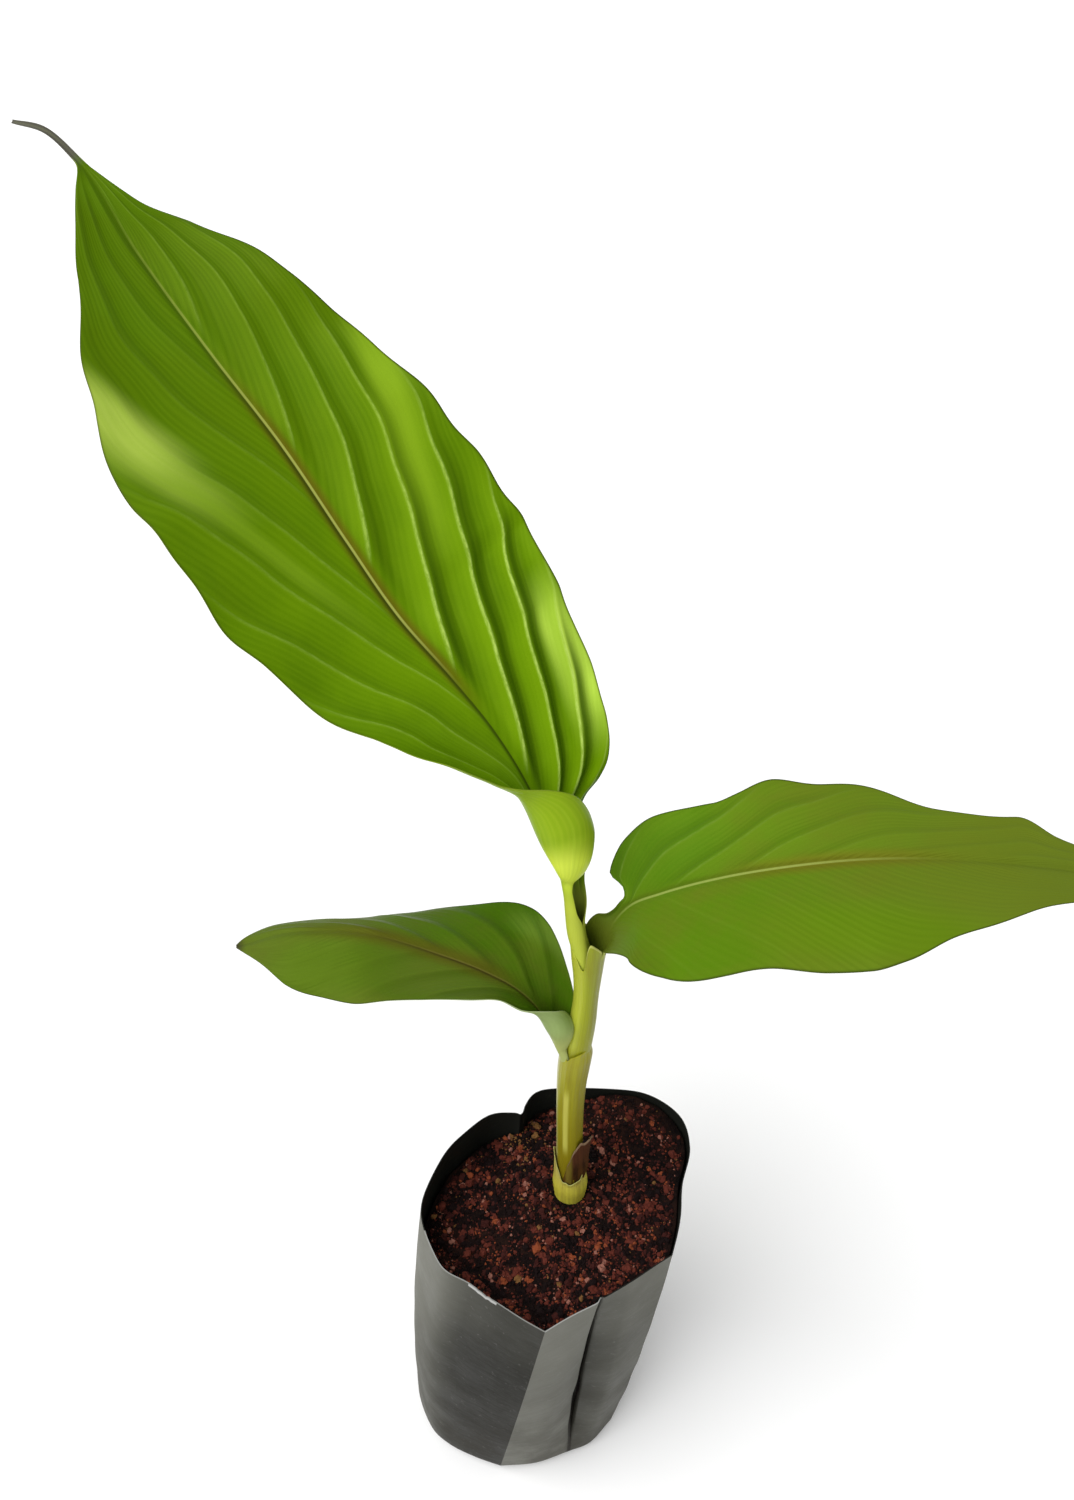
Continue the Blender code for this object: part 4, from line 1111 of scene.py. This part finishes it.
def bagWall(bag, inset, lift):
    # rings from the flat underside, round the foot and up to the rim, with the film's creases
    rings = footRings(inset, 8)
    for ring in rings:
        ring[:, 2] = lift + ring[:, 2] * (bag["footRadius"] - lift) / bag["footRadius"]
    for height in np.linspace(bag["footRadius"] + 0.5, bag["height"], bag["levels"]):
        pleated = fade(height, *bag["pleatsFrom"]) * (1 - bag["fadedBy"] * fade(height, *bag["pleatsFade"]))
        rings.append(bagRing(height, inset, float(pleated)))
    wall = np.stack(rings)
    count = wall.shape[1]
    place = np.arange(count) / count
    middle = wall[-1, :, :2].mean(axis=0)
    turn = np.arctan2(wall[-1, :, 1] - middle[1], wall[-1, :, 0] - middle[0])
    z = wall[..., 2]
    free = fade(z, 4, 30) * (1 - 0.5 * fade(z, 140, 150))
    push = bag["crumple"] * roundRipple(51, turn, bag["crumpleTurns"], z / bag["crumpleTall"])
    lines = roundRipple(52, turn, bag["wrinkleTurns"], z / bag["wrinkleTall"])
    push = push + bag["wrinkle"] * lines * (0.25 + 0.75 * hump(z, bag["wrinkleAt"], bag["wrinkleReach"]))
    outward = gridNormals(wall, closed=True)
    wall[..., :2] += outward[..., :2] * (push * free)[..., None]
    rise = bag["rimWave"] * (ripple(53, np.cos(turn) * 1.1, np.sin(turn) * 1.1) - 0.6)
    torn = bag["tornDeep"] * np.abs(ripple(54, place * 60)) * hump(place, bag["tornAt"], bag["tornWide"])
    wall[..., 2] += (rise - torn) * fade(z, 125, 150)
    return wall


def bagMaterial(name, look):
    material, tree, surface = newMaterial(name, look)
    film = splitVector(mapOf(tree, "filmMap"))
    lightAndWear = placeGroup(tree, filmLightAndWear, look, place=objectPlace(tree), tone=film["X"], shareUp=film["Y"])
    plug(lightAndWear["Roughness"], surface["Roughness"])
    dressSurface(surface, lightAndWear["Color"], lightAndWear["Bump"], look)
    return material


def makeBag(bag, materials):
    outer = bagWall(bag, 0.0, 0.0)
    inner = bagWall(bag, bag["wall"], bag["floor"])[::-1]
    rings = np.concatenate([outer, inner])
    rows, count, _ = rings.shape
    faces = tubeFaces(rows, count, capped=True)
    # materials in order: the outside, the inside, the pale rim with a painted highlight along its edge, and a
    # torn bit of the rim that shows white, partly torn film and partly painted highlight
    walked = np.arange(count) / bag["steps"]
    rim = np.where(np.isin(walked // 1, bag["paleRim"]), 2, 1)
    side = np.repeat([[0]] * (len(outer) - 1) + [[1]] * len(inner), count, axis=1)
    side[len(outer) - 1] = rim
    side[len(outer) - 2, (walked > bag["tornFrom"]) & (walked < bag["tornTo"])] = 3
    side = side.ravel().tolist() + [0, 1]
    gaps = np.linalg.norm(np.roll(outer[-1], -1, axis=0) - outer[-1], axis=1)
    places = segmentPlaces(cornerKinds, bag["steps"])
    # the tone along the outline paints light and shade on the film's panels
    tone = np.concatenate([start + (end - start) * x for (start, end), x in zip(bag["tones"], places)])
    for pleat in bag["pleats"]:
        # painted shade darkens the film along each fold
        walked = np.cumsum(gaps) - gaps
        walked = np.abs(walked - walked[pleat["row"] * bag["steps"]])
        walked = np.minimum(walked, gaps.sum() - walked)
        tone = tone - 1.2 * hump(walked, 0, pleat["dirt"])
    film = np.stack([np.broadcast_to(tone, (rows, count)), rings[..., 2] / bag["height"]], axis=-1)
    makePiece("growBagFilm", rings.reshape(-1, 3), faces, materials,
              ("grow_bag",), side, {"filmMap": film.reshape(-1, 2)}, sharp=28)


# the outside's pale film colour is painted sheen, standing in for the black film's reflection of the light
filmGrey = dict(
    film=(0.012, 0.0115, 0.0085), faded=(0.15, 0.15, 0.126), dirt=(0.035, 0.031, 0.024),
    dust=(0.24, 0.23, 0.22), soiling=0.5, paleTop=0.14, rough=0.5, shine=0.07, bump=0.35, bumpDepth=0.0006)
filmDark = dict(
    filmGrey, film=(0.005, 0.0055, 0.005), faded=(0.016, 0.017, 0.014), dirt=(0.01, 0.006, 0.005),
    dust=(0.05, 0.045, 0.04), rough=0.36)
# the pale rim is a painted highlight along the film's edge
filmEdge = dict(filmGrey, film=(0.2, 0.2, 0.19), faded=(0.3, 0.3, 0.29), dirt=(0.2, 0.2, 0.19))
filmWhite = dict(filmEdge, film=(0.34, 0.34, 0.33), faded=(0.46, 0.46, 0.44))
makeBag(growBag, [bagMaterial("filmGrey", filmGrey), bagMaterial("filmDark", filmDark),
                  bagMaterial("filmEdge", filmEdge), bagMaterial("filmWhite", filmWhite)])
print("grow bag made")


# The potting soil: a lumpy top with loose crumbs

soilBed = dict(
    height=144.0, mound=4.0, spot=9.0, ease=25.0, riseRight=0.13, dropBackLeft=0.11, deepest=5.5, inset=0.7,
    slack=0.6, clearance=0.3, sides=(10, 120), sideRings=12, rings=90, closesTo=0.985, sunk=0.7,
    lump=0.45, lumpSize=26, grit=0.3, gritSize=8, level=(5, 14),
    # low heaps, and loose soil banked up at the rim: place, radius and height
    heaps=[(-6, 33, 8, 4.5), (30, 40, 22, 7.0), (-28, 12, 14, 1.2), (10, -30, 12, 1.2)],
    banks=[(36, 46, 20, 1.6), (-27, 21, 16, 2.4)])


def soilHeight(x, y):
    # a mound round the stem, higher ground on the right and sunk at the back left
    ease = fade(fromStem(x, y), soilBed["spot"], soilBed["spot"] + soilBed["ease"])
    rise = soilBed["riseRight"] * (x - stemLine["x"])
    for heap in soilBed["heaps"]:
        rise = rise + heapAt(x, y, *heap)
    backLeft = np.maximum(0, (stemLine["x"] - x + y - stemLine["y"]) / math.sqrt(2))
    drop = np.minimum(soilBed["dropBackLeft"] * backLeft, soilBed["deepest"])
    return soilBed["height"] + ease * (rise - drop - soilBed["mound"])


def soilTop(x, y):
    # what is seen of the soil: its height with lumps, grit and the banks at the rim
    lumps = soilBed["lump"] * ripple(61, x / soilBed["lumpSize"], y / soilBed["lumpSize"])
    lumps = lumps + soilBed["grit"] * ripple(62, x / soilBed["gritSize"], y / soilBed["gritSize"], waves=16)
    banked = sum(heapAt(x, y, *bank) for bank in soilBed["banks"])
    return soilHeight(x, y) - soilBed["sunk"] + banked + lumps * fade(fromStem(x, y), *soilBed["level"])


def soilMaterial(name, look):
    material, tree, surface = newMaterial(name, look)
    place = objectPlace(tree)
    clods = between(noise(place, 260.0, 4.0, 0.7), 0.4, 0.66)
    patches = between(noise(place, 45.0), 0.5, 0.7, 0.0, 0.5)
    colour = blendColour(clods, look["dark"], look["light"])
    colour = blendColour(patches, colour, look["warm"])
    grain = placeGroup(tree, crumbGrain, {}, place=place)
    dressSurface(surface, colour, grain["Bump"], look)
    return material


def makeSoil(bed, material):
    loose = bed["inset"] + bed["slack"]
    rings = footRings(loose, 4)
    for ring in rings:
        ring[:, 2] = np.maximum(ring[:, 2], growBag["floor"] + bed["clearance"])
    for height in np.linspace(*bed["sides"], bed["sideRings"]):
        rings.append(bagRing(height, loose, float(fade(height, *growBag["pleatsFrom"]))))
    border = bagRing(bed["height"] - bed["mound"], bed["inset"], 1.0)
    centre = np.array([stemLine["x"], stemLine["y"]])
    for share in np.linspace(0, bed["closesTo"], bed["rings"]):
        ring = border.copy()
        ring[:, :2] += (centre - ring[:, :2]) * share
        ring[:, 2] = soilTop(ring[:, 0], ring[:, 1])
        rings.append(ring)
    grid = np.stack(rings)
    faces = tubeFaces(*grid.shape[:2], capped=True)
    makePiece("soilBed", grid.reshape(-1, 3), faces, [material], ("potting_soil",))
    print("soil bed made")


# the bed's near-black colour is the soil's own dark and painted shade in the gaps between crumbs
soilLook = dict(
    dark=(0.002, 0.001, 0.001), light=(0.016, 0.006, 0.004), warm=(0.03, 0.01, 0.006), rough=0.9,
    shine=0.12, bump=0.9, bumpDepth=0.0012)
makeSoil(soilBed, soilMaterial("soilDark", soilLook))


# Crumbs, each colour its own joined piece

crumbs = dict(
    seed=71, rough=0.85, shine=0.15, bump=0.8, bumpDepth=0.0006, fromRim=1.6, fromStem=6.0,
    uneven=0.2, squash=(0.65, 1.2), lies=(-0.6, 0.3),
    sizes=[dict(count=260, low=1.1, high=1.8, fine=2), dict(count=1800, low=0.6, high=1.1, fine=2),
           dict(count=8200, low=0.28, high=0.6, fine=1)],
    # bright crumbs gather in clumps, rust and orange ones in front of the stem, and tan ones at the back left
    clumps=dict(seed=64, spread=11, fewerDark=1.6, moreBright=1.2),
    gathered=[dict(first=2, last=4, x=21, y=-10, spread=300, more=1.6),
              dict(first=5, last=6, x=-6, y=34, spread=60, more=30)],
    colours=[("crumbNight", (0.006, 0.0015, 0.0015), 0.34), ("crumbMaroon", (0.04, 0.008, 0.006), 0.33),
             ("crumbRust", (0.1, 0.02, 0.012), 0.2), ("crumbOrange", (0.22, 0.05, 0.018), 0.05),
             ("crumbPink", (0.27, 0.11, 0.08), 0.035), ("crumbTan", (0.17, 0.08, 0.025), 0.02)])


def ballShape(fine):
    # points and faces of a round ball
    shape = bmesh.new()
    bmesh.ops.create_icosphere(shape, subdivisions=fine, radius=1.0)
    points = np.array([v.co for v in shape.verts])
    faces = np.array([[v.index for v in f.verts] for f in shape.faces])
    shape.free()
    return points, faces


def crumbMaterial(name, colour, plan):
    material, tree, surface = newMaterial(name, plan)
    grain = placeGroup(tree, crumbGrain, {}, place=objectPlace(tree))
    dressSurface(surface, colour, grain["Bump"], plan)
    return material


def crumbShares(plan, weights, x, y):
    # how likely each colour is at a place
    clumps = plan["clumps"]
    dealt = weights.copy()
    clump = float(ripple(clumps["seed"], np.array(x / clumps["spread"]), np.array(y / clumps["spread"])))
    dealt[0] *= math.exp(-clumps["fewerDark"] * clump)
    dealt[2:5] *= math.exp(clumps["moreBright"] * clump)
    for spot in plan["gathered"]:
        near = math.exp(-((x - spot["x"]) ** 2 + (y - spot["y"]) ** 2) / spot["spread"])
        dealt[spot["first"]:spot["last"]] *= 1 + spot["more"] * near
    return dealt / dealt.sum()


def makeCrumbs(plan):
    # the crumbs lie at random places inside the rim, and each is an uneven ball
    rng = np.random.default_rng(plan["seed"])
    border = bagRing(soilBed["height"] - soilBed["mound"], 0.0)[:, :2]
    centre = border.mean(axis=0)
    edgeTurn = np.arctan2(border[:, 1] - centre[1], border[:, 0] - centre[0])
    edgeFar = np.hypot(border[:, 0] - centre[0], border[:, 1] - centre[1])
    order = np.argsort(edgeTurn)
    names, colours, weights = zip(*plan["colours"])
    weights = np.array(weights)
    heaps = {name: ([], [], 0) for name in names}
    for size in plan["sizes"]:
        ball, ballFaces = ballShape(size["fine"])
        for _ in range(size["count"]):
            radius = rng.uniform(size["low"], size["high"])
            turn = rng.uniform(-math.pi, math.pi)
            limit = np.interp(turn, edgeTurn[order], edgeFar[order], period=2 * math.pi)
            far = (limit - radius - plan["fromRim"]) * math.sqrt(rng.uniform(0, 1))
            x, y = centre[0] + far * math.cos(turn), centre[1] + far * math.sin(turn)
            if fromStem(x, y) < plan["fromStem"] + radius * 0.6:
                continue
            name = names[rng.choice(len(names), p=crumbShares(plan, weights, x, y))]
            shape = ball * (1 + plan["uneven"] * rng.normal(size=(len(ball), 1)))
            shape = shape * rng.uniform(*plan["squash"], 3) * radius
            spin = Matrix.Rotation(rng.uniform(0, 6.28), 3, Vector(rng.normal(size=3)))
            shape = shape @ np.array(spin)
            z = float(soilTop(np.array(x), np.array(y))) + radius * rng.uniform(*plan["lies"])
            shape = shape + (x, y, z)
            points, faces, used = heaps[name]
            points.append(shape)
            faces.append(ballFaces + used)
            heaps[name] = (points, faces, used + len(shape))
    for name, colour in zip(names, colours):
        points, faces, _ = heaps[name]
        piece = makePiece(name, np.concatenate(points), np.concatenate(faces).tolist(),
                          [crumbMaterial(name, colour, plan)], ("potting_soil",))
        piece.data.shade_flat()
        print(name, len(piece.data.polygons), "faces")


makeCrumbs(crumbs)


# Camera, light and floor

cameraPlace = dict(at=(-4.2, -239.1, 546.9), down=38.0, roll=1.9, lens=28.08, sensor=36.0)
studio = dict(sun=(-0.6, -0.45, 1.0), power=2.7, spread=55, sky=0.6, floor=(0.93, 0.93, 0.93), floorSize=40.0,
              rough=0.9, shine=0.1)


def makeCamera(place):
    data = bpy.data.cameras.new("photoCamera")
    data.lens = place["lens"]
    data.sensor_width = place["sensor"]
    data.clip_start = 0.01
    camera = putInScene("photoCamera", data)
    down, roll = math.radians(place["down"]), math.radians(place["roll"])
    forward = Vector((0, math.cos(down), -math.sin(down)))
    level = Vector((1, 0, 0))
    up = Vector((0, math.sin(down), math.cos(down)))
    right = level * math.cos(roll) + up * math.sin(roll)
    top = up * math.cos(roll) - level * math.sin(roll)
    turned = Matrix((right, top, -forward)).transposed()
    camera.matrix_world = Matrix.Translation(Vector(place["at"]) * mm) @ turned.to_4x4()
    bpy.context.scene.camera = camera


def makeSun(name, plan):
    data = bpy.data.lights.new(name, "SUN")
    data.energy = plan["power"]
    data.angle = math.radians(plan["spread"])
    lamp = putInScene(name, data)
    lamp.location = Vector(plan["sun"]) * 2
    lamp.rotation_euler = Vector(plan["sun"]).to_track_quat("Z", "Y").to_euler()


def makeStage(plan):
    shape = bmesh.new()
    bmesh.ops.create_grid(shape, x_segments=1, y_segments=1, size=plan["floorSize"])
    mesh = bpy.data.meshes.new("paleFloor")
    shape.to_mesh(mesh)
    shape.free()
    material, _, surface = newMaterial("paleFloor", plan)
    plug(plan["floor"], surface["Base Color"])
    mesh.materials.append(material)
    floor = putInScene("paleFloor", mesh)
    world = bpy.data.worlds.new("softStudio")
    world.use_nodes = True
    sky = world.node_tree.nodes["Background"].inputs
    plug((1.0, 1.0, 1.0), sky["Color"])
    plug(plan["sky"], sky["Strength"])
    bpy.context.scene.world = world


makeCamera(cameraPlace)
makeSun("windowLight", studio)
makeStage(studio)
bpy.context.scene.view_settings.view_transform = "Standard"
print("camera, light and floor made")
